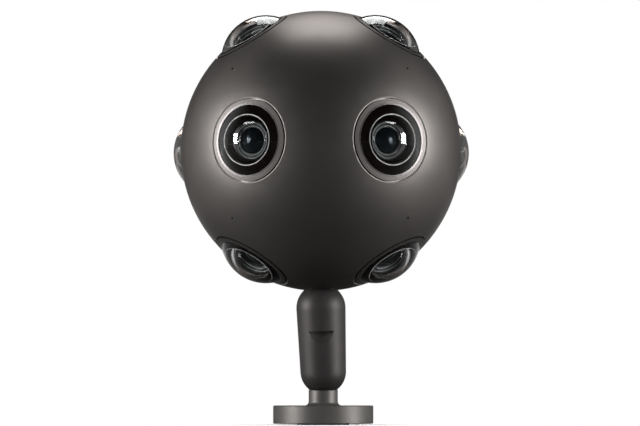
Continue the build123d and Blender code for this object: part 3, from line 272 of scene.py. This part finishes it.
def feedBump(tree, shader, height, strength, depth):
    bump = tree.nodes.new("ShaderNodeBump")
    bump.inputs["Strength"].default_value = strength
    bump.inputs["Distance"].default_value = depth
    feed(tree, bump.inputs["Height"], height)
    feed(tree, shader.inputs["Normal"], bump.outputs["Normal"])


def dress(finish, *names):
    for name in names:
        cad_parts[name].data.materials.clear()
        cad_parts[name].data.materials.append(finish)


# Metals

metalDust = {"tint": (0.34, 0.33, 0.31), "rough": 0.25}


def metalFinish(name, look, axis=None, centre=None):
    finish, tree, shader = newFinish(
        name, Metallic=look["metallic"], Specular_Tint=(look["edge"], look["edge"], look["edge"], 1.0),
    )
    grain = placeGrain(tree, look)
    feedDusty(tree, shader, grain.outputs["Color"], grain.outputs["Roughness"], look["dust"], metalDust)
    height = grain.outputs["Height"]
    if axis is not None:
        turned = placeTurned(tree, centre, axis, look["pitch"])
        height = addMath(tree, "MULTIPLY_ADD", turned.outputs["Height"], look["turned"], height)
    feedBump(tree, shader, height, look["bump"], look["bumpDepth"])
    return finish


headLook = {
    "tint": (0.118, 0.110, 0.105), "metallic": 0.97, "pitScale": 2600.0, "cloud": 0.07, "rough": (0.36, 0.41),
    "edge": 0.4, "dust": 0.05, "bump": 0.35, "bumpDepth": 0.00003,
}
dress(metalFinish("headMetal", headLook), "front_shell", "rear_shell")

armLook = dict(headLook, tint=(0.022, 0.020, 0.0195), metallic=0.55, rough=(0.5, 0.57), dust=0.07)
dress(metalFinish("armMetal", armLook), "arm_front_half", "arm_rear_half")

knobLook = dict(armLook, rough=(0.3, 0.38), pitch=0.0004, turned=0.35)
knobTurn = {"axis": (0.0, 0.995396, 0.095846), "centre": (-0.00062, -0.00171, 0.047857)}
dress(metalFinish("knobMetal", knobLook, **knobTurn), "clamp_knob")

footLook = dict(
    headLook, tint=(0.056, 0.053, 0.05), metallic=0.6, rough=(0.48, 0.55),
    pitch=0.00035, turned=0.5, dust=0.06,
)
dress(metalFinish("footMetal", footLook, axis=upward, centre=origin), "base_foot")

innerLook = dict(headLook, tint=(0.42, 0.42, 0.43), rough=(0.3, 0.42), dust=0.03)
dress(metalFinish("innerMetal", innerLook), "chassis", "heat_spreader")

steelLook = {
    "tint": (0.46, 0.45, 0.44), "metallic": 1.0, "pitScale": 1800.0, "cloud": 0.05, "rough": (0.16, 0.26),
    "edge": 1.0, "dust": 0.04, "bump": 0.15, "bumpDepth": 0.00003, "pitch": 0.00025, "turned": 0.5,
}
bushCentre = (headCentre.x, headCentre.y, 0.0)
dress(metalFinish("bushSteel", steelLook, axis=upward, centre=bushCentre), "mount_bush", "upper_ball_stud")
dress(metalFinish("footSteel", steelLook, axis=upward, centre=origin), "lower_ball_stud")
dress(
    metalFinish("screwSteel", dict(steelLook, tint=(0.2, 0.195, 0.19))),
    "arm_screws", "bush_screws", "shell_screws", "lower_push_rod", "upper_push_rod",
)

bronzeLook = dict(steelLook, tint=(0.62, 0.36, 0.15), rough=(0.24, 0.36))
dress(metalFinish("cupBronze", bronzeLook), "lower_pressure_cup", "upper_pressure_cup", "clamp_wedge")
print("metals dressed")


# Trim rings: a blasted face with a polished band at its inner edge

ringLook = dict(headLook, tint=(0.1, 0.093, 0.0895), rough=(0.42, 0.48), pitch=0.00045, turned=0.25)
bandLook = dict(
    ringLook, tint=(0.024, 0.022, 0.022), rough=(0.24, 0.32), turned=0.3, dust=0.0, bump=0.1, edge=1.0,
)
ringBand = {"inner": 0.0193, "outer": 0.0206, "leastLean": 0.985}  # metres off the lens axis, and a cosine


def dressRing(name, axis):
    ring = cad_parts[name + "_trim_ring"]
    ring.data.materials.clear()
    for part, look in (("RingFace", ringLook), ("RingBand", bandLook)):
        ring.data.materials.append(metalFinish(name + part, look, axis=axis, centre=headCentre))
    for face in ring.data.polygons:
        spread, lean = placeOnLens(face, axis)[1:]
        if ringBand["inner"] < spread < ringBand["outer"] and lean > ringBand["leastLean"]:
            face.material_index = 1


# Front elements: clear glass, dark and warm towards its edge, on a black rim

glass = {
    "ior": 1.62, "rough": 0.004, "dust": 0.03, "edgeRange": (0.25, 0.6),
    "edgeTint": (0.085, 0.06, 0.048, 1.0), "shadowTint": (0.8, 0.82, 0.82, 1.0),
}
glassDust = {"tint": (0.6, 0.6, 0.58), "rough": 0.12}


def glassFinish(name, tint, reflection, coated):
    finish, tree, shader = newFinish(
        name, IOR=glass["ior"], Transmission_Weight=1.0, Metallic=0.0,
        Specular_Tint=(*(coated * part for part in reflection), 1.0),
    )
    facing = tree.nodes.new("ShaderNodeLayerWeight").outputs["Facing"]
    edge = addRange(tree, facing, *glass["edgeRange"], 0.0, 1.0)
    depth = addTint(tree, edge, (*tint, 1.0), glass["edgeTint"])
    feedDusty(tree, shader, depth, glass["rough"], glass["dust"], glassDust)
    through = tree.nodes.new("ShaderNodeBsdfTransparent")
    through.inputs["Color"].default_value = glass["shadowTint"]
    shadowRay = tree.nodes.new("ShaderNodeLightPath").outputs["Is Shadow Ray"]
    mixed = addShaderMix(tree, shadowRay, shader.outputs[0], through.outputs[0])
    feed(tree, tree.nodes["Material Output"].inputs["Surface"], mixed)
    return finish


domeGlass = glassFinish("domeGlass", (0.96, 0.97, 0.97), (0.86, 1.0, 0.93), 0.3)
hollowGlass = glassFinish("hollowGlass", (0.96, 0.97, 0.97), (1.0, 0.93, 0.9), 0.12)
rearGlass = glassFinish("rearGlass", (0.75, 0.9, 0.92), (0.5, 0.85, 1.0), 0.3)


def ringMask(tree, radius, middle, halfWidth, soft):  # 1 on a ring round a lens axis, 0 off it
    off = addMath(tree, "ABSOLUTE", addMath(tree, "SUBTRACT", radius, middle))
    return addRange(tree, off, halfWidth, halfWidth + soft, 1.0, 0.0)


rim = {  # lengths in metres
    "tint": (0.0022, 0.0014, 0.0013), "pitScale": 1800.0, "cloud": 0.3, "rough": (0.5, 0.65),
    "bump": 0.2, "bumpDepth": 0.00002, "pitch": 0.0002,
    # edge values: the pale ring at the hollow's ground edge, partly its own grey and partly a painted
    # highlight
    "edgeMiddle": 0.0121, "edgeHalf": 0.00024, "edgeSoft": 0.0001, "edgeTint": (0.3, 0.295, 0.29, 1.0),
    "edgeLeast": 0.7,
}


def rimPaint(name, axis):  # matt black behind the front element, with a pale ring at the ground edge of its hollow: partly the edge's own grey and partly a painted highlight of the light it catches
    finish, tree, shader = newFinish(name, Metallic=0.0, Specular_IOR_Level=0.0)
    grain = placeGrain(tree, rim)
    turned = placeTurned(tree, headCentre, axis, rim["pitch"])
    groundEdgeAndHighlight = ringMask(tree, turned.outputs["Radius"], rim["edgeMiddle"], rim["edgeHalf"], rim["edgeSoft"])
    lines = addRange(tree, turned.outputs["Height"], 0.0, 1.0, rim["edgeLeast"], 1.0)
    groundEdgeAndHighlight = addMath(tree, "MULTIPLY", groundEdgeAndHighlight, lines)
    feed(tree, shader.inputs["Base Color"], addTint(tree, groundEdgeAndHighlight, grain.outputs["Color"], rim["edgeTint"]))
    feed(tree, shader.inputs["Roughness"], grain.outputs["Roughness"])
    feedBump(tree, shader, grain.outputs["Height"], rim["bump"], rim["bumpDepth"])
    return finish


domeEdge = {  # metres off the lens axis, and cosines
    "reach": 0.0192, "hollowRim": 0.01197, "flatLean": -0.999, "uprightLean": 0.05,
}


def dressDome(name, axis):  # clear outside, duller in the hollow, and black on the flat back and the rim
    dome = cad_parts[name + "_front_element"]
    dome.data.materials.clear()
    for finish in (domeGlass, hollowGlass, rimPaint(name + "RimBlack", axis)):
        dome.data.materials.append(finish)
    for face in dome.data.polygons:
        spread, lean = placeOnLens(face, axis)[1:]
        onRim = abs(lean) < domeEdge["uprightLean"] and spread > domeEdge["reach"]
        onBack = lean < domeEdge["flatLean"] and spread > domeEdge["hollowRim"]
        if onRim or onBack:
            face.material_index = 2
        elif lean < 0.0:
            face.material_index = 1


# Barrels, each with a stepped throat and a second glass

throat = {  # metres: a stepped ring on the barrel's first step, round the second glass
    "outer": 0.01105, "foot": 0.06925, "top": 0.0742, "lip": 0.0003, "sides": 72,
    "stepDrop": 0.0009, "stepWidths": (0.0005, 0.0005, 0.0003), "middleReach": 0.0001,
    # the edge values paint pale highlight rings on the throat's step edges
    "edgeHalf": 0.00012, "edgeSoft": 0.00012, "edgeTint": (0.1, 0.1, 0.103, 1.0),
    "glassRise": 0.0011, "glassCut": 0.00001, "glassSegments": 64, "glassRings": 96,
}
barrel = {
    "tint": (0.003, 0.0033, 0.0035), "pitScale": 2600.0, "cloud": 0.2, "rough": (0.4, 0.55),
    "pitch": 0.0006, "bump": 0.4, "bumpDepth": 0.00005, "shine": 0.15,
}


def barrelFinish(name, axis, edges=()):  # black turned metal, with painted highlights: pale rings painted at the step edges given
    finish, tree, shader = newFinish(name, Metallic=0.0, Specular_IOR_Level=barrel["shine"])
    turned = placeTurned(tree, headCentre, axis, barrel["pitch"])
    grain = placeGrain(tree, barrel)
    colour = grain.outputs["Color"]
    for middle in edges:
        # a painted highlight: a pale ring at each step edge given
        edge = ringMask(tree, turned.outputs["Radius"], middle, throat["edgeHalf"], throat["edgeSoft"])
        colour = addTint(tree, edge, colour, throat["edgeTint"])
    feed(tree, shader.inputs["Base Color"], colour)
    feed(tree, shader.inputs["Roughness"], grain.outputs["Roughness"])
    feedBump(tree, shader, turned.outputs["Height"], barrel["bump"], barrel["bumpDepth"])
    return finish


def selectInner(mesh):  # the upper face in the middle of the ring
    for face in mesh.polygons:
        face.select = Vector(face.center).xy.length < throat["middleReach"] and face.normal.z > 0.0


def makeThroat():
    bpy.ops.mesh.primitive_cylinder_add(
        vertices=throat["sides"], radius=throat["outer"], depth=throat["top"] - throat["foot"],
        location=(0.0, 0.0, (throat["top"] + throat["foot"]) / 2), end_fill_type="NGON",
    )
    bpy.ops.object.transform_apply(location=True)
    ring = bpy.context.object
    bpy.ops.object.mode_set(mode="EDIT")
    bpy.ops.mesh.select_mode(type="FACE")
    bpy.ops.mesh.select_all(action="DESELECT")
    bpy.ops.object.mode_set(mode="OBJECT")
    selectInner(ring.data)
    bpy.ops.object.mode_set(mode="EDIT")
    bpy.ops.mesh.inset(thickness=throat["lip"], depth=0.0)
    for width in throat["stepWidths"]:
        bpy.ops.mesh.inset(thickness=throat["lip"], depth=-throat["stepDrop"])
        bpy.ops.mesh.inset(thickness=width, depth=0.0)
    bpy.ops.mesh.inset(thickness=throat["lip"] / 2, depth=-throat["stepDrop"])
    bpy.ops.object.mode_set(mode="OBJECT")
    return ring


def makeSecondGlass():  # a bulging black glass in the middle of the stepped ring
    drops = len(throat["stepWidths"]) + 1
    inner = throat["outer"] - throat["lip"] * (drops + 0.5) - sum(throat["stepWidths"])
    base = throat["top"] - throat["stepDrop"] * drops
    rise = throat["glassRise"]
    curve = (inner**2 + rise**2) / (2.0 * rise)
    bpy.ops.mesh.primitive_uv_sphere_add(
        segments=throat["glassSegments"], ring_count=throat["glassRings"], radius=curve,
        location=(0.0, 0.0, base + rise - curve),
    )
    bpy.ops.object.transform_apply(location=True)
    cap = bpy.context.object
    bpy.ops.object.mode_set(mode="EDIT")
    bpy.ops.mesh.select_all(action="SELECT")
    bpy.ops.mesh.bisect(
        plane_co=(0.0, 0.0, base + throat["glassCut"]), plane_no=upward, clear_inner=True, use_fill=True,
    )
    bpy.ops.object.mode_set(mode="OBJECT")
    return cap


secondGlass = {
    "tint": (0.0015, 0.002, 0.0025, 1.0), "reflection": (0.7, 0.85, 1.0, 1.0), "ior": 1.6, "shine": 0.05,
    "rough": 0.05, "dust": 0.05,
}
secondGlassDust = {"tint": (0.05, 0.05, 0.05), "rough": 0.2}


def secondGlassFinish():  # looks black, with a faint blue reflection
    finish, tree, shader = newFinish(
        "secondGlass", Metallic=0.0, IOR=secondGlass["ior"], Specular_IOR_Level=secondGlass["shine"],
        Specular_Tint=secondGlass["reflection"],
    )
    feedDusty(tree, shader, secondGlass["tint"], secondGlass["rough"], secondGlass["dust"], secondGlassDust)
    return finish


secondGlassBlack = secondGlassFinish()
throatModel = makeThroat()
glassModel = makeSecondGlass()


def throatFrame(axis):  # stands a piece made upright on the lens axis
    turn = Vector(upward).rotation_difference(axis)
    return Matrix.Translation(headCentre) @ turn.to_matrix().to_4x4()


def placeCopy(model, name, axis, finish):
    piece = model.copy()
    piece.data = model.data.copy()
    piece.name = name
    bpy.context.scene.collection.objects.link(piece)
    piece.data.transform(throatFrame(axis))
    piece.data.materials.clear()
    piece.data.materials.append(finish)
    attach(piece, "head")
    return piece


def fitThroat(name, axis):
    radius = throat["outer"]
    edges = []
    for width in throat["stepWidths"]:
        radius -= throat["lip"]
        edges.append(radius)
        radius -= width
    finish = barrelFinish(name + "ThroatBlack", axis, edges[::2])  # painted highlights on every second step edge
    placeCopy(throatModel, name + "_throat", axis, finish)
    cap = placeCopy(glassModel, name + "_second_glass", axis, secondGlassBlack)
    cap.data.shade_smooth()


# Ports: painted shade in the groove round each ring, and a painted highlight on the bevel of the shell beside
# it

groove = {  # metres off the lens axis, and cosines
    "outer": 0.02314, "inner": 0.02269, "wall": 0.0002, "upright": 0.2, "shellInside": 0.074,
    # tint, cloud and rough paint shade into the groove
    "tint": (0.002, 0.002, 0.002), "pitScale": 2600.0, "cloud": 0.2, "rough": (0.7, 0.85), "shine": 0.05,
}
bevel = {"reach": 0.0011, "leastLean": 0.3, "mostLean": 0.94}
# a painted highlight: the bevel beside each groove coloured pale
bevelHighlightLook = dict(headLook, tint=(0.34, 0.32, 0.31), rough=(0.4, 0.5))


def grooveShadeFinish():  # painted shade: the anodised gap coloured near black, as if too narrow for light
    finish, tree, shader = newFinish("grooveShade", Metallic=0.0, Specular_IOR_Level=groove["shine"])
    grain = placeGrain(tree, groove)
    feed(tree, shader.inputs["Base Color"], grain.outputs["Color"])
    feed(tree, shader.inputs["Roughness"], grain.outputs["Roughness"])
    return finish


def dressPorts():
    shade = grooveShadeFinish()
    bevelHighlight = metalFinish("portBevelHighlight", bevelHighlightLook)
    axes = [axisOf(*angles) for angles in lensAngles.values()]
    for name in ("front_shell", "rear_shell"):
        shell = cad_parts[name]
        shell.data.materials.append(shade)
        shell.data.materials.append(bevelHighlight)
        for face in shell.data.polygons:
            if (Vector(face.center) - headCentre).length < groove["shellInside"]:
                continue
            for axis in axes:
                along, spread, lean = placeOnLens(face, axis)
                if along < 0.0 or spread > groove["outer"] + bevel["reach"]:
                    continue
                # painted shade on the groove's wall
                if abs(lean) < groove["upright"] and abs(spread - groove["outer"]) < groove["wall"]:
                    face.material_index = 1
                # painted highlight on the bevel
                elif bevel["leastLean"] < lean < bevel["mostLean"] and spread > groove["outer"]:
                    face.material_index = 2
    for lensName, axis in zip(lensAngles, axes):
        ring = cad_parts[lensName + "_trim_ring"]
        ring.data.materials.append(shade)
        for face in ring.data.polygons:
            spread, lean = placeOnLens(face, axis)[1:]
            # painted shade on the ring's wall beside the groove
            if abs(lean) < groove["upright"] and abs(spread - groove["inner"]) < groove["wall"]:
                face.material_index = 2


for lensName, angles in lensAngles.items():
    lensAxis = axisOf(*angles)
    dressRing(lensName, lensAxis)
    dressDome(lensName, lensAxis)
    dress(barrelFinish(lensName + "BarrelBlack", lensAxis), lensName + "_barrel")
    fitThroat(lensName, lensAxis)
dressPorts()

poles = {"reach": 0.008, "radius": 0.08}  # metres, the mend's reach and the ball's radius


def dressPoles():  # the mesh pinches at the ball's front and back, so the ball's own slope is used there
    finish = metalFinish("poleMetal", headLook)
    tree = finish.node_tree
    arm = addVector(tree, "SUBTRACT", addPlace(tree), headCentre)
    turn = tree.nodes.new("ShaderNodeVectorTransform")
    turn.vector_type = "NORMAL"
    turn.convert_from = "OBJECT"
    turn.convert_to = "WORLD"
    feed(tree, turn.inputs["Vector"], addVector(tree, "NORMALIZE", arm))
    for node in tree.nodes:
        if node.bl_idname == "ShaderNodeBump":
            feed(tree, node.inputs["Normal"], turn.outputs["Vector"])
    for name, side in (("front_shell", -1.0), ("rear_shell", 1.0)):
        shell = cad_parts[name]
        shell.data.materials.append(finish)
        pole = headCentre + Vector((0.0, side * poles["radius"], 0.0))
        for face in shell.data.polygons:
            if (Vector(face.center) - pole).length < poles["reach"]:
                face.material_index = len(shell.data.materials) - 1


dressPoles()
dress(rearGlass, "inner_elements")
for model in (throatModel, glassModel):
    bpy.data.objects.remove(model)
print("lenses dressed")


# Plastic, boards and the pieces at the back and inside

plastic = {
    "pitScale": 1400.0, "cloud": 0.12, "smoother": 0.05, "rougher": 0.07, "bump": 0.3, "bumpDepth": 0.00004,
}
plasticDust = {"tint": (0.3, 0.29, 0.28), "rough": 0.0}


def plasticFinish(name, tint, rough, dustAmount=0.06, **sockets):
    finish, tree, shader = newFinish(name, **sockets)
    roughRange = (rough - plastic["smoother"], rough + plastic["rougher"])
    grain = placeGrain(tree, dict(plastic, tint=tint, rough=roughRange))
    feedDusty(tree, shader, grain.outputs["Color"], grain.outputs["Roughness"], dustAmount, plasticDust)
    feedBump(tree, shader, grain.outputs["Height"], plastic["bump"], plastic["bumpDepth"])
    return finish


board = {
    "trackScale": 210.0, "trackWidth": 0.035, "mask": (0.006, 0.035, 0.02, 1.0),
    "maskOther": (0.008, 0.042, 0.024, 1.0), "track": (0.03, 0.12, 0.06, 1.0), "rough": (0.3, 0.45),
    "bump": 0.4, "bumpDepth": 0.00005,
}


def boardFinish():  # solder mask with a grid of thin tracks
    finish, tree, shader = newFinish("boardMask", Metallic=0.0)
    tracks = tree.nodes.new("ShaderNodeTexBrick")
    for label, value in (
        ("Vector", addPlace(tree)), ("Scale", board["trackScale"]), ("Mortar Size", board["trackWidth"]),
        ("Color1", board["mask"]), ("Color2", board["maskOther"]), ("Mortar", board["track"]),
    ):
        feed(tree, tracks.inputs[label], value)
    feed(tree, shader.inputs["Base Color"], tracks.outputs["Color"])
    feed(tree, shader.inputs["Roughness"], addRange(tree, tracks.outputs["Fac"], 0.0, 1.0, *board["rough"]))
    feedBump(tree, shader, tracks.outputs["Fac"], board["bump"], board["bumpDepth"])
    return finish


dress(boardFinish(), "main_board", "sensor_boards")
dress(
    plasticFinish("blackHousing", (0.02, 0.02, 0.021), 0.45),
    "power_inlet", "bay_connector", "button_switches", "microphones",
)
dress(plasticFinish("footPad", (0.018, 0.018, 0.018), 0.78, 0.1), "base_pad")
dress(plasticFinish("buttonCap", (0.045, 0.043, 0.042), 0.4), "power_button", "record_button")
dress(plasticFinish("packSkin", (0.07, 0.072, 0.075), 0.5), "battery_pack")
pipeGlow = {"Transmission_Weight": 0.4, "Emission_Color": (0.5, 0.8, 1.0, 1.0), "Emission_Strength": 0.15}
dress(plasticFinish("lightPipe", (0.75, 0.82, 0.85), 0.25, **pipeGlow), "status_light")
dress(metalFinish("socketGold", dict(bronzeLook, tint=(0.72, 0.5, 0.2))), "video_output")
dress(metalFinish("socketSteel", dict(steelLook, tint=(0.5, 0.5, 0.5))), "data_socket", "storage_drive")
cartridgeLook = dict(headLook, tint=(0.085, 0.08, 0.077), rough=(0.38, 0.48))
dress(metalFinish("cartridgeMetal", cartridgeLook), "cartridge_case")
print("inner pieces dressed")


# Studio: a pale floor, a dim tent and a dim floor cloth for the metal to reflect,
# two side boxes and a top box

studio = {
    "floorReach": 6.0, "floorSides": 96, "floorHeight": -0.0002, "floorTone": (0.93, 0.93, 0.93, 1.0),
    "floorRough": 0.9, "floorShine": 0.2, "fadeStart": 0.03, "fadeEnd": 0.06, "worldLight": 0.35,
    "sideTurn": 72.0, "sideDistance": 2.1, "sideSize": (0.5, 1.25), "sideRise": 0.0, "sidePower": 150.0,
    "topPlace": (0.0, 0.97, 1.87), "topSize": (1.0, 1.5), "topPower": 34.0,
}


def makeFloor():  # fades to plain white away from the foot, and is clear from below
    bpy.ops.mesh.primitive_circle_add(
        vertices=studio["floorSides"], radius=studio["floorReach"], fill_type="NGON",
        location=(0.0, 0.0, studio["floorHeight"]),
    )
    bpy.ops.object.transform_apply(location=True)
    floor = bpy.context.object
    floor.name = "studioFloor"
    finish, tree, shader = newFinish(
        "floorPaper", Base_Color=studio["floorTone"], Roughness=studio["floorRough"],
        Specular_IOR_Level=studio["floorShine"],
    )
    reach = addVector(tree, "LENGTH", addPlace(tree))
    fade = addRange(tree, reach, studio["fadeStart"], studio["fadeEnd"], 0.0, 1.0)
    white = addMath(tree, "MULTIPLY", fade, addSeenRay(tree))
    glow = tree.nodes.new("ShaderNodeEmission")
    paper = addShaderMix(tree, white, shader.outputs[0], glow.outputs[0])
    fromBelow = tree.nodes.new("ShaderNodeNewGeometry").outputs["Backfacing"]
    clear = tree.nodes.new("ShaderNodeBsdfTransparent")
    sides = addShaderMix(tree, fromBelow, paper, clear.outputs[0])
    feed(tree, tree.nodes["Material Output"].inputs["Surface"], sides)
    floor.data.materials.append(finish)


def makeWorld():  # white to look at, and dimmer as a light
    world = bpy.data.worlds.new("studioWorld")
    bpy.context.scene.world = world
    world.use_nodes = True
    tree = world.node_tree
    back = tree.nodes["Background"]
    back.inputs["Color"].default_value = (1.0, 1.0, 1.0, 1.0)
    feed(tree, back.inputs["Strength"], addRange(tree, addSeenRay(tree), 0.0, 1.0, studio["worldLight"], 1.0))


tent = {  # lengths in metres, and the window's size in degrees
    "radius": 3.2, "segments": 48, "rings": 24, "foot": -0.05, "openTurn": 18.0, "openRise": 15.0,
    "dim": 0.03, "glow": 1.15, "sideStart": 1.2, "sideEnd": 3.2,
}
cloth = {
    "reach": 2.6, "sides": 64, "rise": 0.0006, "dim": 0.12, "glow": 1.0, "sideStart": 0.02, "sideEnd": 0.36,
}
depthFade = {"frontEnd": -0.6, "backStart": 1.2, "frontShare": 0.12}  # from the front of both to their back


def dimCloth(name, look):  # brightest at its left and right, and dimmer in front of the object than behind
    finish = bpy.data.materials.new(name)
    finish.use_nodes = True
    tree = finish.node_tree
    tree.nodes.remove(tree.nodes["Principled BSDF"])
    place = tree.nodes.new("ShaderNodeSeparateXYZ")
    feed(tree, place.inputs[0], addPlace(tree))
    aside = addMath(tree, "ABSOLUTE", place.outputs["X"])
    strength = addRange(tree, aside, look["sideStart"], look["sideEnd"], look["dim"], look["glow"])
    share = addRange(
        tree, place.outputs["Y"], depthFade["frontEnd"], depthFade["backStart"], depthFade["frontShare"], 1.0,
    )
    glow = tree.nodes.new("ShaderNodeEmission")
    feed(tree, glow.inputs["Strength"], addMath(tree, "MULTIPLY", strength, share))
    feed(tree, tree.nodes["Material Output"].inputs["Surface"], glow.outputs[0])
    return finish


def hangCard(card, finish):  # only reflections and glass find it
    card.data.materials.append(finish)
    card.visible_camera = False
    card.visible_shadow = False
    card.visible_diffuse = False


def makeTent():  # a dome over the object, with a window low behind it
    bpy.ops.mesh.primitive_uv_sphere_add(
        segments=tent["segments"], ring_count=tent["rings"], radius=tent["radius"], location=origin,
    )
    wall = bpy.context.object
    wall.name = "dimTent"
    bpy.ops.object.mode_set(mode="EDIT")
    bpy.ops.mesh.select_all(action="DESELECT")
    bpy.ops.object.mode_set(mode="OBJECT")
    for face in wall.data.polygons:
        middle = Vector(face.center)
        turn = math.degrees(math.atan2(middle.x, middle.y))
        rise = math.degrees(math.asin(middle.z / middle.length))
        inWindow = abs(turn) < tent["openTurn"] and rise < tent["openRise"]
        face.select = inWindow or middle.z < tent["foot"]
    bpy.ops.object.mode_set(mode="EDIT")
    bpy.ops.mesh.delete(type="FACE")
    bpy.ops.mesh.select_all(action="SELECT")
    bpy.ops.mesh.flip_normals()
    bpy.ops.object.mode_set(mode="OBJECT")
    hangCard(wall, dimCloth("tentCloth", tent))


def makeFloorCloth():
    bpy.ops.mesh.primitive_circle_add(
        vertices=cloth["sides"], radius=cloth["reach"], fill_type="NGON", location=(0.0, 0.0, cloth["rise"]),
    )
    bpy.ops.object.transform_apply(location=True)
    floorCloth = bpy.context.object
    floorCloth.name = "dimFloorCloth"
    hangCard(floorCloth, dimCloth("floorCloth", cloth))


def makeBox(name, place, size, power):  # a soft box that looks at the ball
    light = bpy.data.lights.new(name, "AREA")
    light.shape = "RECTANGLE"
    light.size, light.size_y = size
    light.energy = power
    lamp = bpy.data.objects.new(name, light)
    bpy.context.scene.collection.objects.link(lamp)
    lamp.location = place
    lamp.rotation_euler = (headCentre - Vector(place)).to_track_quat("-Z", "Y").to_euler()


def makeLamps():
    turn = math.radians(studio["sideTurn"])
    for name, side in (("sideBoxLeft", -1.0), ("sideBoxRight", 1.0)):
        place = (
            side * studio["sideDistance"] * math.sin(turn),
            -studio["sideDistance"] * math.cos(turn),
            headCentre.z + studio["sideRise"],
        )
        makeBox(name, place, studio["sideSize"], studio["sidePower"])
    makeBox("topBox", studio["topPlace"], studio["topSize"], studio["topPower"])


viewpoint = {  # from the outline of the ball and the edge of the foot in the photograph
    "lens": 154.0, "sensor": 36.0, "place": (0.0164, -1.5617, 0.0108), "pitch": 94.02, "yaw": 0.669,
}


def makeCamera():
    camera = bpy.data.objects.new("photoCamera", bpy.data.cameras.new("photoCamera"))
    bpy.context.scene.collection.objects.link(camera)
    camera.data.lens = viewpoint["lens"]
    camera.data.sensor_width = viewpoint["sensor"]
    camera.location = viewpoint["place"]
    camera.rotation_euler = (math.radians(viewpoint["pitch"]), 0.0, math.radians(viewpoint["yaw"]))
    bpy.context.scene.camera = camera


makeFloor()
makeWorld()
makeTent()
makeFloorCloth()
makeLamps()
makeCamera()
bpy.context.scene.view_settings.view_transform = "Standard"
print("studio set")
